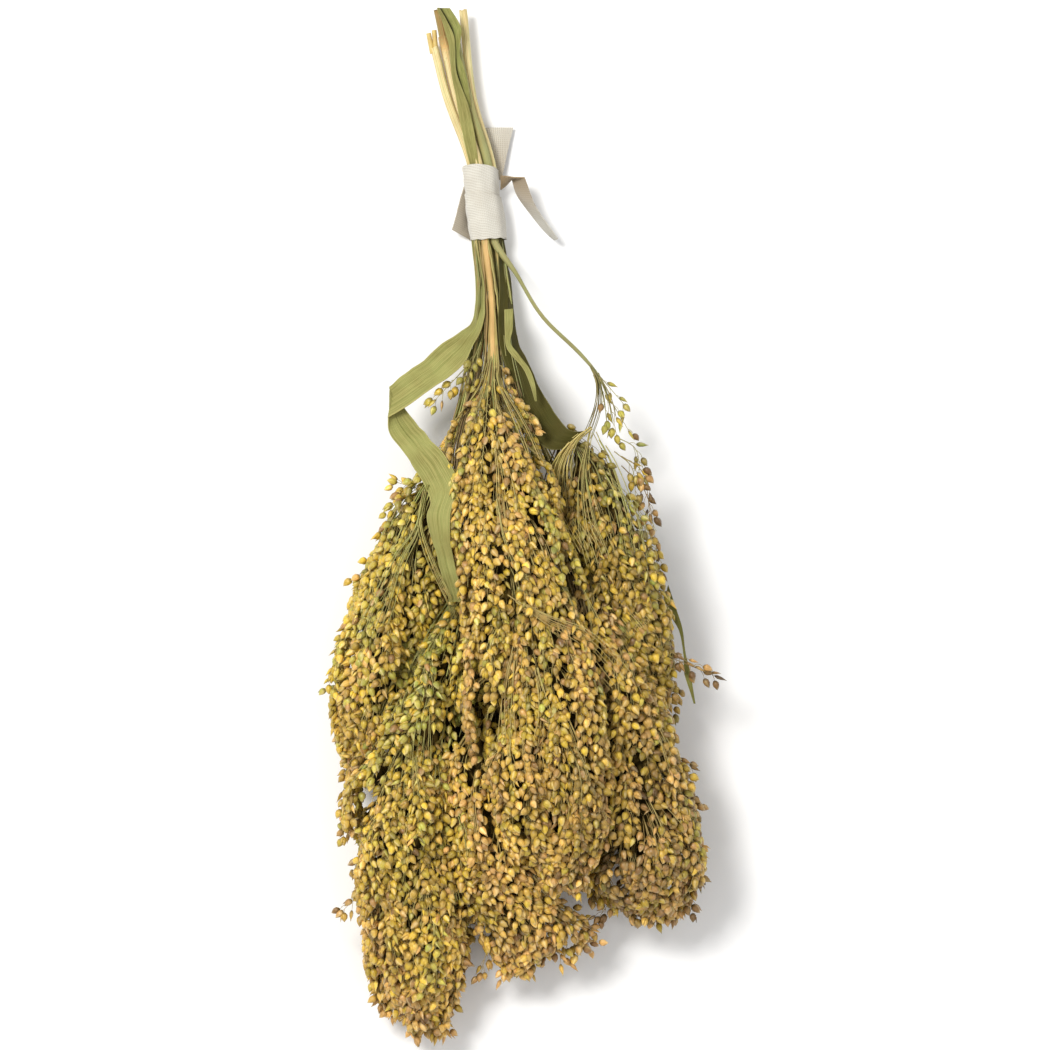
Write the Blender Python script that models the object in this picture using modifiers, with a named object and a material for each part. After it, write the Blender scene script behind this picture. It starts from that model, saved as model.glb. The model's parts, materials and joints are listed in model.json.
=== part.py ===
"""A tied bunch of dried millet seed heads, laid on its back on a flat surface.

Millimetres are turned into Blender's metres by MM. The cut stems point along +Y, the seed heads hang
towards -Y, and +Z is away from the surface. The origin is under the middle of the bunch, on the surface.

Each panicle is one grown piece: a culm that runs from its cut end through the tape, and a seed head with
its grains raised from the surface and loose sprays of spikelets. In every plane across the bunch, each
pair of panicles is parted by a straight line between their middles, so no head can cut into another.
"""

import math
import random
from dataclasses import dataclass, field

import bmesh
import bpy
from mathutils import Matrix, Vector

MM = 0.001

# Driving dimensions of the bundle where the tape holds it, in millimetres
CULM_RADIUS = 1.75
RING_RADIUS = 4.55  # seven culms stand in a ring round the eighth
PEDUNCLE_RADIUS = 1.4  # a culm has thinned to this where its seed head begins
CUT_MIDDLE = (-34.0, 216.0, 9.2)
CUT_SPREAD = 1.6
TIE_TOP = (-18.9, 151.0, 9.2)
TIE_FOOT = (-16.4, 120.0, 9.2)
GATHER = (-13.4, 94.0, 15.0)
GATHER_SPREAD = 1.1

# The seed heads' cores and the grains that stand out of them, in millimetres and shares
GAP = 0.7  # clear space between two neighbouring heads
KEEP_RADIUS = 2.3  # no neighbour comes nearer than this to the middle line of a culm
LEAST_SIZE = 0.2  # what a bare culm counts for where two neighbours share the space between them
GRAIN_HEIGHT = 2.6
GRAIN_JITTER = 0.7
GRAIN_DROOP = 0.35  # a raised grain hangs this share of a row below its own row
GRAIN_STRAY = 0.12  # how far a grain strays from its row and column, as a share of their spacing
DEEPEST_GRAIN = 0.4  # no dip between grains is deeper than this share of the head's radius
LEAST_SHARE = 0.25  # a squeezed head keeps this share of its radius
LOBE_DEPTH = 0.13
LOBE_TWIST = 5.0  # radians by which the lobes turn from a head's top to its tip
COLUMN_CROWDING = 0.55  # columns of grains crowd towards the side that shows
CULM_RUN_IN = 0.35  # a culm runs this share of the head's length on inside it
CULM_KNOTS = 12

# Loose sprays of spikelets
SPIKELET_LENGTH = 6.0
SPIKELET_WIDTH = 3.4
SPIKELET_MIDDLE = 0.42  # a spikelet's middle lies this share of its length beyond its foot
BRANCH_RADIUS = 0.75
BRANCH_TAPER = 0.75
SPRAY_LENGTH = (13.0, 21.0)
SPRAY_REACH = 75.0  # the furthest that a spray found by rule ends from the bunch's middle
SPRAY_SPREAD = 100  # sprays stand within this many degrees of the side that shows
SPRAY_SPACING = 9.0
SPRAY_TRIES = 400
SIDE_SPIKELETS = (0.62, 0.85)  # where the side spikelets stand, as shares of the branch
CLEAR_OF_HEADS = 6.0  # a spray stays this far outside its neighbours' nominal surfaces

# Finishes: dry husks, leaf blades and cotton
GOLDEN_TAN = (0.52, 0.35, 0.13)
OLIVE_TAN = (0.43, 0.36, 0.12)
YELLOW_GREEN = (0.42, 0.40, 0.13)
BROWN_TAN = (0.42, 0.27, 0.12)
SAGE = (0.33, 0.36, 0.14)
OLIVE_BROWN = (0.24, 0.22, 0.09)
PALE_STRAW = (0.52, 0.46, 0.22)
COTTON = (0.80, 0.74, 0.62)

# Leaves and tape
LEAF_THICKNESS = 0.7
TAPE_THICKNESS = 0.9
TAPE_WIDTH = 18.0
TAPE_INNER_RADIUS = 7.6
TAPE_OVERLAP_STEP = 0.35
TAPE_SIDES = 20


@dataclass
class Panicle:
    """One culm with its seed head. Stations are (x, y, z, half width, half depth)."""

    name: str
    slot: float  # direction of the culm's place in the tied ring, in degrees
    cut_y: float
    culm: list
    head: list
    outward: float  # direction in which the head shows, in degrees from +X towards +Z
    colour: tuple
    columns: int = 16  # a multiple of four, so that a column stands on +X
    rows: int = 24
    lobes: int = 5
    sprays: int = 8
    in_ring: bool = True
    gathered: bool = True
    hand_sprays: list = field(default_factory=list)

    def offset(self):
        """Where the culm stands in the tied ring, from the bundle's middle."""
        if not self.in_ring:
            return 0.0, 0.0
        turn = math.radians(self.slot)
        return RING_RADIUS * math.cos(turn), RING_RADIUS * math.sin(turn)

    def stations(self):
        """Every station from the cut end to the head's tip."""
        ox, oz = self.offset()

        def bundled(middle, spread, y, radius):
            return (middle[0] + spread * ox, y, middle[2] + spread * oz, radius, radius)

        held = [
            bundled(CUT_MIDDLE, CUT_SPREAD, self.cut_y, CULM_RADIUS),
            bundled(TIE_TOP, 1.0, TIE_TOP[1], CULM_RADIUS),
            bundled(TIE_FOOT, 1.0, TIE_FOOT[1], CULM_RADIUS),
        ]
        if self.gathered:
            held.append(bundled(GATHER, GATHER_SPREAD, GATHER[1], CULM_RADIUS))
        return held + [(*point, CULM_RADIUS, CULM_RADIUS) for point in self.culm] + self.head

    def at(self, y):
        """(x, z, half width, half depth) where the plane at y crosses the panicle."""
        return smooth(self.stations(), y)

    def top_y(self):
        return self.head[0][1]

    def tip_y(self):
        return self.head[-1][1]


def smooth(stations, y):
    """Reads the stations at y on one smooth curve through them."""
    last = len(stations) - 1
    y = min(max(y, stations[last][1]), stations[0][1])
    k = next(k for k in range(last) if y >= stations[k + 1][1])
    a, b = stations[k], stations[k + 1]
    before, after = stations[max(k - 1, 0)], stations[min(k + 2, last)]
    span = a[1] - b[1]
    t = (a[1] - y) / span
    read = []
    for axis in (0, 2, 3, 4):
        slope_a = (b[axis] - before[axis]) / max(before[1] - b[1], 1e-6) * span
        slope_b = (after[axis] - a[axis]) / max(a[1] - after[1], 1e-6) * span
        curve = (
            a[axis] * (2 * t**3 - 3 * t**2 + 1)
            + slope_a * (t**3 - 2 * t**2 + t)
            + b[axis] * (3 * t**2 - 2 * t**3)
            + slope_b * (t**3 - t**2)
        )
        if axis > 2:
            low, high = sorted((a[axis], b[axis]))
            curve = min(max(curve, low), high)
        read.append(curve)
    return read


PANICLES = [
    Panicle(
        "panicle_front", 101.4, 216.0,
        culm=[(-14, 79, 28)],
        head=[
            (-14, 66, 37, 1.8, 1.8), (-15, 50, 44, 13, 9), (-13, 34, 51, 22, 14), (-9, 5, 57, 23, 18),
            (-4, -20, 61, 25, 20), (1, -50, 63, 30, 22), (5, -80, 62, 32, 23), (9, -110, 59, 32, 23),
            (13, -133, 53, 26, 19), (17, -151, 46, 4, 4),
        ],
        colour=GOLDEN_TAN, outward=90, columns=20, rows=34, lobes=7, sprays=10,
    ),
    Panicle(
        "panicle_back", 256.0, 207.0,
        culm=[],
        head=[
            (-11, 52, 11, 1.8, 1.8), (-8, 20, 14, 20, 14), (-3, -30, 17, 31, 22), (3, -80, 17, 35, 23),
            (12, -116, 16, 31, 21), (20, -138, 15, 16, 13), (24, -150, 14, 4, 4),
        ],
        colour=BROWN_TAN, outward=-90, columns=16, rows=26, lobes=5, sprays=8,
    ),
    Panicle(
        "panicle_left", 153.0, 205.0,
        culm=[(-22, 72, 24)],
        head=[
            (-29, 38, 31, 1.8, 1.8), (-41, 8, 32, 16, 22), (-51, -28, 30, 20, 28), (-58, -62, 28, 20, 28),
            (-64, -86, 26, 15, 21), (-70, -102, 24, 3, 4),
        ],
        colour=OLIVE_TAN, outward=165, columns=20, rows=26, lobes=5, sprays=13,
        hand_sprays=[((-62, -40, 31), (-78, -51, 33)), ((-43, 14, 38), (-54, 17, 41))],
    ),
    Panicle(
        "panicle_low_left", 204.6, 212.0,
        culm=[(-20, 64, 20), (-23, 20, 31)],
        head=[
            (-24, -18, 34, 1.8, 1.8), (-30, -48, 34, 19, 27), (-40, -91, 33, 30, 35),
            (-45, -133, 32, 28, 34), (-44, -168, 27, 22, 25), (-44, -185, 24, 20, 20),
            (-45, -200, 20, 16, 15), (-42, -213, 17, 5, 5),
        ],
        colour=OLIVE_TAN, outward=190, columns=20, rows=32, lobes=6, sprays=14,
        hand_sprays=[
            ((-60, -146, 30), (-77, -163, 33)), ((-44, -200, 19), (-40, -212, 17)),
            ((-60, -98, 34), (-76, -112, 35)), ((-60, -114, 34), (-75, -129, 34)),
        ],
    ),
    Panicle(
        "panicle_low_centre", 0.0, 214.0, in_ring=False,
        culm=[(-14, 64, 24), (-15, 20, 34)],
        head=[
            (-16, -46, 38, 1.8, 1.8), (-17, -91, 40, 19, 28), (-15, -129, 38, 24, 29),
            (-14, -150, 34, 20, 25), (-6, -163, 29, 22, 20), (1, -172, 25, 24, 16),
            (-1, -180, 22, 17, 12), (-3, -187, 20, 3, 3),
        ],
        colour=GOLDEN_TAN, outward=60, columns=16, rows=28, lobes=5, sprays=8,
        hand_sprays=[((16, -172, 25), (27, -178, 23)), ((-16, -178, 24), (-19, -190, 22))],
    ),
    Panicle(
        "panicle_right", 307.2, 209.0,
        culm=[(-6, 64, 16), (8, 30, 27)],
        head=[
            (21, 2, 34, 1.8, 1.8), (31, -32, 36, 19, 30), (38, -70, 35, 21, 34), (42, -94, 34, 18, 34),
            (47, -116, 34, 21, 34), (50, -140, 32, 22, 31), (50, -153, 28, 22, 23), (51, -160, 24, 15, 14),
            (52, -165, 21, 3, 3),
        ],
        colour=GOLDEN_TAN, outward=5, columns=20, rows=30, lobes=6, sprays=14,
        hand_sprays=[((58, -148, 28), (70, -162, 27)), ((38, -156, 28), (31, -166, 26))],
    ),
    Panicle(
        "panicle_upper_right", 358.6, 214.0,
        culm=[(-6.5, 78, 15), (-1, 62, 22), (6, 48, 29)],
        head=[
            (13, 40, 33, 1.8, 1.8), (25, 29, 37, 15, 13), (29, 18, 39, 18, 18), (33, 5, 41, 21, 21),
            (36, -12, 42, 21, 22), (44, -34, 40, 15, 20), (51, -55, 37, 8, 13), (57, -70, 34, 2, 3),
        ],
        colour=YELLOW_GREEN, outward=40, columns=16, rows=22, lobes=5, sprays=10,
        hand_sprays=[((50, -48, 41), (71, -60, 45)), ((52, -53, 40), (79, -64, 43))],
    ),
    Panicle(
        "panicle_stray", 50.2, 216.0, gathered=False,
        culm=[(-4.5, 106, 18), (7, 87, 27)],
        head=[(23, 71, 33, 1.1, 1.1), (31, 61, 36, 1.0, 1.0), (36, 49, 37, 0.9, 0.9)],
        colour=YELLOW_GREEN, outward=0, columns=0, rows=0, sprays=0,
        hand_sprays=[
            ((29, 64, 35), (42, 49, 38)), ((31, 61, 36), (33, 43, 40)), ((34, 54, 37), (44, 39, 37)),
            ((35, 51, 37), (38, 35, 40)), ((30, 62, 36), (25, 46, 39)),
        ],
    ),
]

# Leaves, as pairs of edge points. The first edge of a pair is the one nearer the photograph's left.
LEFT_LEAF = [
    ((-25.2, 146, 7.3), (-25.2, 146, 11.3)), ((-23.0, 120, 7.3), (-23.0, 120, 11.3)),
    ((-21.2, 100, 10.5), (-20.9, 99, 16.5)), ((-23.3, 88, 16), (-22.0, 84, 24)),
    ((-26, 82, 22), (-22.5, 75, 30)), ((-34.9, 75.2, 28), (-27, 66, 36)),
    ((-47.5, 64.7, 33), (-37.8, 57.5, 39)), ((-53, 61, 34.5), (-47, 51, 40)),
    ((-57.3, 57.5, 36.5), (-57.6, 44.5, 40.5)),
    ((-48.3, 44.3, 36), (-57.2, 37.5, 38.5)), ((-42, 37, 46), (-51, 29, 45)),
    ((-33, 27, 58.5), (-43.5, 18, 56)), ((-28.3, 17, 66), (-39.5, 9, 62)),
    ((-29.3, 4, 67.5), (-41, 1, 64)), ((-30.8, -10, 67), (-39.5, -10, 64)),
    ((-29.8, -22, 66), (-36.8, -21, 63)), ((-28.8, -32.8, 64), (-35, -32.8, 61)),
]
RIGHT_LEAF = [
    ((-11.65, 146, 11.2), (-11.65, 146, 7.5)), ((-9.5, 120, 11.2), (-9.5, 120, 7.4)),
    ((-7, 98, 17.5), (-6, 98, 11.5)), ((-9, 76, 31), (-4, 79, 24.5)), ((-6.5, 61, 38), (1, 66.5, 33.5)),
    ((-2.5, 46, 39), (6.5, 54, 38)), ((3.5, 36, 44), (13, 45, 42)), ((8.5, 30, 48), (18, 35, 47)),
]
SMALL_LEAF = [
    ((-6.5, 78, 32), (-4.5, 79, 30)), ((-3.8, 66, 41.5), (0.2, 68, 39)), ((-0.5, 57, 46), (3.5, 59, 44)),
    ((3.3, 49.5, 47.5), (4.7, 50.5, 47)),
]
TIP_LEAF = [
    ((58.5, -31, 36), (59.8, -26, 37)), ((61.2, -39.5, 36), (63.4, -37, 37)),
    ((64.6, -46, 36.5), (65.8, -45, 37)), ((66.2, -56, 37), (67.3, -56, 37)),
    ((66.6, -63.5, 37), (69.2, -63, 37)), ((70.6, -76, 35), (71.3, -76, 35)),
]
CUT_LEAF = [
    ((-37.5, 216, 18.9), (-31.5, 216, 19.5)), ((-35, 203, 18.4), (-28.5, 203, 19.0)),
    ((-32.2, 190, 17.7), (-27.2, 190, 18.3)), ((-28.2, 173.5, 17.0), (-23, 173.5, 17.2)),
    ((-22.2, 157, 16.0), (-17.3, 157, 15.9)), ((-20.8, 146, 15.5), (-16.6, 146, 15.2)),
]

# The tape's loose ends, as pairs of edge points
UPPER_TAIL = [
    ((-17, 145, 2.9), (-11, 146, 4.0)), ((-20, 155, 2.4), (-8, 156, 2.8)),
    ((-21.5, 166, 1.4), (-5.5, 166.5, 2.2)),
]
LOWER_TAIL = [
    ((-25.6, 143, 8.0), (-25.4, 137, 7.0)), ((-29, 133, 7), (-25.8, 130, 5.6)),
    ((-31.5, 124.5, 6.5), (-26, 121.5, 4.6)),
]
SIDE_TAIL = [
    ((-10.6, 144.5, 12.5), (-10.6, 140.5, 10.5)), ((-6, 147.5, 14.4), (-5.6, 144.5, 12)),
    ((-2.2, 147.2, 14.6), (-3.6, 143.6, 12.2)), ((2.6, 142.2, 14), (-1.4, 139.6, 11.8)),
    ((7.2, 134, 12.2), (3.4, 131.6, 10.4)), ((12, 121.6, 9), (10.8, 120.4, 8.4)),
]


def clear_scene():
    for obj in list(bpy.data.objects):
        bpy.data.objects.remove(obj)


def material(name, colour, roughness):
    """A plain finish: a Principled BSDF with the piece's colour and roughness."""
    made = bpy.data.materials.new(name)
    made.use_nodes = True
    shader = made.node_tree.nodes["Principled BSDF"]
    shader.inputs["Base Color"].default_value = (*colour, 1.0)
    shader.inputs["Roughness"].default_value = roughness
    shader.inputs["Metallic"].default_value = 0.0
    return made


def object_of(bm, name, collection):
    """Makes the bmesh an object, with its points turned from millimetres into metres."""
    mesh = bpy.data.meshes.new(name)
    bm.to_mesh(mesh)
    bm.free()
    mesh.transform(Matrix.Scale(MM, 4))
    obj = bpy.data.objects.new(name, mesh)
    collection.objects.link(obj)
    return obj


def evaluated_copy(obj, name, collection):
    """Replaces a curve or a mesh with modifiers by the mesh that it evaluates to."""
    bpy.context.view_layer.update()
    graph = bpy.context.evaluated_depsgraph_get()
    mesh = bpy.data.meshes.new_from_object(obj.evaluated_get(graph))
    made = bpy.data.objects.new(name, mesh)
    made.matrix_world = obj.matrix_world
    collection.objects.link(made)
    bpy.data.objects.remove(obj)
    return made


def sew(mesh):
    """Welds the seams that caps and solidified edges leave, and turns every face outwards."""
    bm = bmesh.new()
    bm.from_mesh(mesh)
    bmesh.ops.remove_doubles(bm, verts=bm.verts, dist=0.01 * MM)
    bmesh.ops.triangulate(bm, faces=bm.faces)
    bmesh.ops.recalc_face_normals(bm, faces=bm.faces)
    bm.to_mesh(mesh)
    bm.free()


def keep_largest_body(mesh):
    """Drops the loose scraps and fills the sealed hollows that a union leaves inside."""
    bm = bmesh.new()
    bm.from_mesh(mesh)
    unseen = set(bm.faces)
    bodies = []
    while unseen:
        body, edge = set(), {unseen.pop()}
        while edge:
            body |= edge
            edge = {near for face in edge for side in face.edges for near in side.link_faces} - body
        unseen -= body
        bodies.append(body)
    largest = max(bodies, key=len)
    scraps = [face for body in bodies if body is not largest for face in body]
    bmesh.ops.delete(bm, geom=scraps, context="FACES")
    bm.to_mesh(mesh)
    bm.free()


def fuse(name, pieces, finish, collection):
    """Joins the pieces into one body by one Boolean union on a collection, and removes them."""
    base, rest = pieces[0], pieces[1:]
    for piece in pieces:
        for other in list(piece.users_collection):
            other.objects.unlink(piece)
    collection.objects.link(base)
    joined = bpy.data.collections.new(name + "_pieces")
    bpy.context.scene.collection.children.link(joined)
    for piece in rest:
        joined.objects.link(piece)
    union = base.modifiers.new("union", "BOOLEAN")
    union.operation = "UNION"
    union.operand_type = "COLLECTION"
    union.solver = "MANIFOLD"
    union.collection = joined
    made = evaluated_copy(base, name, collection)
    keep_largest_body(made.data)
    for piece in rest:
        bpy.data.objects.remove(piece)
    bpy.data.collections.remove(joined)
    made.data.materials.clear()
    made.data.materials.append(finish)


def split_between(panicle, other, y):
    """(direction to the other panicle, how far from this one's middle their parting line lies), at y."""
    x, z, width, depth = panicle.at(y)
    x2, z2, width2, depth2 = other.at(y)
    away = Vector((x2 - x, z2 - z))
    apart = away.length
    mine = max((width + depth) / 2 - KEEP_RADIUS, 0.0) + LEAST_SIZE
    theirs = max((width2 + depth2) / 2 - KEEP_RADIUS, 0.0) + LEAST_SIZE
    return away / apart, KEEP_RADIUS + (apart - 2 * KEEP_RADIUS) * mine / (mine + theirs)


def neighbours(panicle, y):
    """The other panicles that the plane at y crosses."""
    return [
        other for other in PANICLES
        if other is not panicle and other.tip_y() - 2 <= y <= other.cut_y
    ]


def room(panicle, y, reach, clear=GAP / 2):
    """The share of the reach, an (x, z) vector from the middle line, that stays on this panicle's side."""
    share = 1.0
    for other in neighbours(panicle, y):
        toward, limit = split_between(panicle, other, y)
        along = reach.dot(toward)
        if along > 1e-9:
            share = min(share, (limit - clear) / along)
    return share


def head_body(panicle, draw, collection):
    """The seed head: a sphere's grid drawn along the head, with every other point raised as a grain."""
    columns, rows = panicle.columns, panicle.rows
    bm = bmesh.new()
    bmesh.ops.create_uvsphere(bm, u_segments=columns, v_segments=rows, radius=1.0)
    raised = {}
    for vert in bm.verts:
        row = round(math.acos(max(-1.0, min(1.0, vert.co.z))) / math.pi * rows)
        column = round(math.atan2(vert.co.y, vert.co.x) / (2 * math.pi) * columns) % columns
        raised[vert] = (row + column) % 2 == 0
        vert.co = grain_point(panicle, row, column, raised[vert], draw)
    for face in list(bm.faces):
        low = [vert for vert in face.verts if not raised[vert]]
        if len(face.verts) == 4 and len(low) == 2:
            bmesh.utils.face_split(face, low[0], low[1])
    bmesh.ops.reverse_faces(bm, faces=bm.faces)
    return object_of(bm, panicle.name + "_head", collection)


def grain_point(panicle, row, column, is_raised, draw):
    """Where one point of the head's grid lies."""
    pitch = (panicle.top_y() - panicle.tip_y()) / panicle.rows
    at_end = row in (0, panicle.rows)
    y = panicle.top_y() - pitch * row
    if not at_end:
        y += (draw.uniform(-GRAIN_STRAY, GRAIN_STRAY) - (GRAIN_DROOP if is_raised else 0.0)) * pitch
    x, z, width, depth = panicle.at(y)
    if at_end:
        return Vector((x, y, z))
    turn = 2 * math.pi * (column + draw.uniform(-GRAIN_STRAY, GRAIN_STRAY)) / panicle.columns
    turn = math.radians(panicle.outward) + turn - COLUMN_CROWDING * math.sin(turn)
    twist = LOBE_TWIST * row / panicle.rows
    lobe = 1 - LOBE_DEPTH * (0.5 - 0.5 * math.cos(panicle.lobes * turn + twist))
    reach = Vector((width * math.cos(turn), depth * math.sin(turn))) * lobe
    lowered = 0.0 if is_raised else GRAIN_HEIGHT + draw.uniform(0, GRAIN_JITTER)
    dip = min(DEEPEST_GRAIN, lowered / reach.length)
    point = reach * max(min(1.0, room(panicle, y, reach)) - dip, LEAST_SHARE)
    return Vector((x + point.x, y, max(z + point.y, 0.0)))


def culm_tube(panicle, collection):
    """The culm as a tube that thins towards the head and runs on into it as the head's main stalk."""
    stations = panicle.stations()
    first, top = stations[0][1], panicle.top_y()
    run_in = (CULM_RUN_IN if panicle.rows else 1.0) * (top - panicle.tip_y())
    line = []
    for k in range(CULM_KNOTS + 1):
        y = first + (top - run_in - first) * k / CULM_KNOTS
        x, z, _, _ = panicle.at(y)
        thin = min(max((TIE_FOOT[1] - y) / (TIE_FOOT[1] - top), 0.0), 1.0)
        radius = CULM_RADIUS + (PEDUNCLE_RADIUS - CULM_RADIUS) * thin
        line.append((Vector((x, y, z)), radius))
    curve = bpy.data.curves.new(panicle.name + "_culm", "CURVE")
    curve.dimensions = "3D"
    curve.bevel_depth = MM
    curve.bevel_resolution = 1
    curve.use_fill_caps = True
    spline = curve.splines.new("POLY")
    spline.points.add(CULM_KNOTS)
    for point, (place, radius) in zip(spline.points, line):
        point.co = (*(place * MM), 1.0)
        point.radius = radius
    obj = bpy.data.objects.new(panicle.name + "_culm", curve)
    collection.objects.link(obj)
    made = evaluated_copy(obj, panicle.name + "_culm_mesh", collection)
    sew(made.data)
    return made


def turned_to(direction, place):
    """A matrix that stands a shape made along +Z along the direction, at the place."""
    turn = Vector((0, 0, 1)).rotation_difference(direction).to_matrix().to_4x4()
    return Matrix.Translation(place) @ turn


def branch(start, end, radius, name, collection):
    """A straight three-sided stalk that thins a little towards its end."""
    run = end - start
    bm = bmesh.new()
    bmesh.ops.create_cone(
        bm, cap_ends=True, segments=3, radius1=radius, radius2=BRANCH_TAPER * radius, depth=run.length,
        matrix=turned_to(run, (start + end) / 2),
    )
    return object_of(bm, name, collection)


def spikelet(base, direction, name, collection):
    """A pointed, four-sided grain in its husk, with its foot at the base."""
    direction = direction.normalized()
    bm = bmesh.new()
    bmesh.ops.create_uvsphere(bm, u_segments=4, v_segments=2, radius=1.0)
    size = Matrix.Diagonal((SPIKELET_WIDTH / 2, SPIKELET_WIDTH / 2, SPIKELET_LENGTH / 2, 1.0))
    place = turned_to(direction, base + SPIKELET_MIDDLE * SPIKELET_LENGTH * direction)
    bmesh.ops.transform(bm, matrix=place @ size, verts=bm.verts)
    return object_of(bm, name, collection)


def spray(start, end, draw, name, collection):
    """A loose branch with spikelets at its end and along its sides."""
    run = end - start
    across = run.cross(Vector((0, 0, 1))).normalized()
    pieces = [branch(start, end, BRANCH_RADIUS, name + "_stalk", collection)]
    pieces.append(spikelet(end - 0.1 * run, run, name + "_end", collection))
    for k, along in enumerate(SIDE_SPIKELETS):
        side = across * (1 if k % 2 else -1)
        lean = run.normalized() + side * draw.uniform(0.6, 0.9) + Vector((0, 0, draw.uniform(-0.3, 0.4)))
        pieces.append(spikelet(start + along * run, lean, f"{name}_side_{k}", collection))
    return pieces


def spray_runs(panicle, draw):
    """(start, end) of each loose spray: those set by hand, then those that the rule finds room for."""
    runs = [(Vector(start), Vector(end)) for start, end in panicle.hand_sprays]
    wanted = panicle.sprays + len(runs)
    for _ in range(SPRAY_TRIES if panicle.sprays else 0):
        if len(runs) == wanted:
            break
        along = draw.uniform(0.12, 0.93)
        y = panicle.top_y() + (panicle.tip_y() - panicle.top_y()) * along
        x, z, width, depth = panicle.at(y)
        turn = math.radians(panicle.outward + draw.uniform(-SPRAY_SPREAD, SPRAY_SPREAD))
        reach = Vector((width * math.cos(turn), depth * math.sin(turn)))
        length = draw.uniform(*SPRAY_LENGTH)
        surface = reach * min(1.0, room(panicle, y, reach))
        out = Vector((reach.x, 0, reach.y)).normalized()
        start = Vector((x + 0.6 * surface.x, y, z + 0.6 * surface.y))
        end = start + Vector((0, -length * 0.85, 0)) + out * (0.4 * surface.length + 0.25 * length)
        if end.z < SPIKELET_WIDTH or start.z < 2 * BRANCH_RADIUS or abs(end.x) > SPRAY_REACH:
            continue
        crowded = any((end - other).length < SPRAY_SPACING for _, other in runs)
        if not crowded and all(is_clear(panicle, point) for point in (start, (start + end) / 2, end)):
            runs.append((start, end))
    return runs


def is_clear(panicle, point):
    """Whether a spikelet that hangs from the point stays clear of every neighbouring head."""
    for other in neighbours(panicle, point.y - SPIKELET_LENGTH):
        for y in (point.y, point.y - SPIKELET_LENGTH):
            x, z, width, depth = other.at(max(y, other.tip_y()))
            across = (point.x - x) / (width + CLEAR_OF_HEADS)
            high = (point.z - z) / (depth + CLEAR_OF_HEADS)
            if math.hypot(across, high) < 1:
                return False
    return True


def panicle_piece(panicle, work, collection):
    """One panicle, with its culm, head and sprays fused."""
    finish = material(panicle.name + "_husks", panicle.colour, 0.6)
    draw = random.Random(panicle.name)
    pieces = [culm_tube(panicle, work)]
    if panicle.rows:
        pieces.insert(0, head_body(panicle, draw, work))
    for k, (start, end) in enumerate(spray_runs(panicle, draw)):
        pieces += spray(start, end, draw, f"{panicle.name}_spray_{k}", work)
    fuse(panicle.name, pieces, finish, collection)


def strip(name, pairs, thickness, crown, wave, collection):
    """A thin strip through pairs of edge points, arched by crown, with waved edges, made solid."""
    bm = bmesh.new()
    rows = []
    for k, (left, right) in enumerate(pairs):
        left, right = Vector(left), Vector(right)
        before, after = pairs[max(k - 1, 0)], pairs[min(k + 1, len(pairs) - 1)]
        along = (Vector(after[0]) + Vector(after[1])) - (Vector(before[0]) + Vector(before[1]))
        normal = (right - left).cross(along).normalized()
        ripple = wave * normal * math.sin(2.3 * k)
        middle = (left + right) / 2 + crown * normal
        rows.append([bm.verts.new(place) for place in (left + ripple, middle, right - ripple)])
    for first, second in zip(rows, rows[1:]):
        for k in range(2):
            bm.faces.new((first[k], first[k + 1], second[k + 1], second[k]))
    bmesh.ops.triangulate(bm, faces=bm.faces)
    obj = object_of(bm, name + "_strip", collection)
    solid = obj.modifiers.new("thickness", "SOLIDIFY")
    solid.thickness = thickness * MM
    solid.offset = 0.0
    made = evaluated_copy(obj, name, collection)
    sew(made.data)
    return made


def leaf(name, pairs, crown, wave, colour, collection):
    """One dried leaf blade."""
    made = strip(name, pairs, LEAF_THICKNESS, crown, wave, collection)
    made.data.materials.append(material(name + "_blade", colour, 0.65))


def tape_turn(name, middle, axis, inner, lean, collection):
    """One turn of the tape: a short open tube round the bundle, made solid."""
    bm = bmesh.new()
    radius = inner + TAPE_THICKNESS / 2
    tilt = Matrix.Rotation(math.radians(lean), 4, "X")
    bmesh.ops.create_cone(
        bm, cap_ends=False, segments=TAPE_SIDES, radius1=radius, radius2=radius, depth=TAPE_WIDTH,
        matrix=turned_to(axis, middle) @ tilt,
    )
    obj = object_of(bm, name + "_open", collection)
    solid = obj.modifiers.new("thickness", "SOLIDIFY")
    solid.thickness = TAPE_THICKNESS * MM
    solid.offset = 0.0
    made = evaluated_copy(obj, name, collection)
    sew(made.data)
    return made


def tape_tie(colour, work, collection):
    """The tape: two turns that overlap, with its two ends and a folded loop standing out."""
    finish = material("tape_cotton", colour, 0.9)
    axis = (Vector(TIE_TOP) - Vector(TIE_FOOT)).normalized()
    half = TAPE_WIDTH / 2
    upper = Vector(TIE_TOP) - axis * (half - 0.5)
    lower = Vector(TIE_FOOT) + axis * (half - 0.3)
    pieces = [
        tape_turn("upper_turn", upper, axis, TAPE_INNER_RADIUS, -1.0, work),
        tape_turn("lower_turn", lower, axis, TAPE_INNER_RADIUS + TAPE_OVERLAP_STEP, 1.2, work),
    ]
    for name, pairs in (("upper_tail", UPPER_TAIL), ("lower_tail", LOWER_TAIL), ("side_tail", SIDE_TAIL)):
        pieces.append(strip(name, pairs, TAPE_THICKNESS, 0.0, 0.0, work))
    fuse("tape_tie", pieces, finish, collection)


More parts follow.
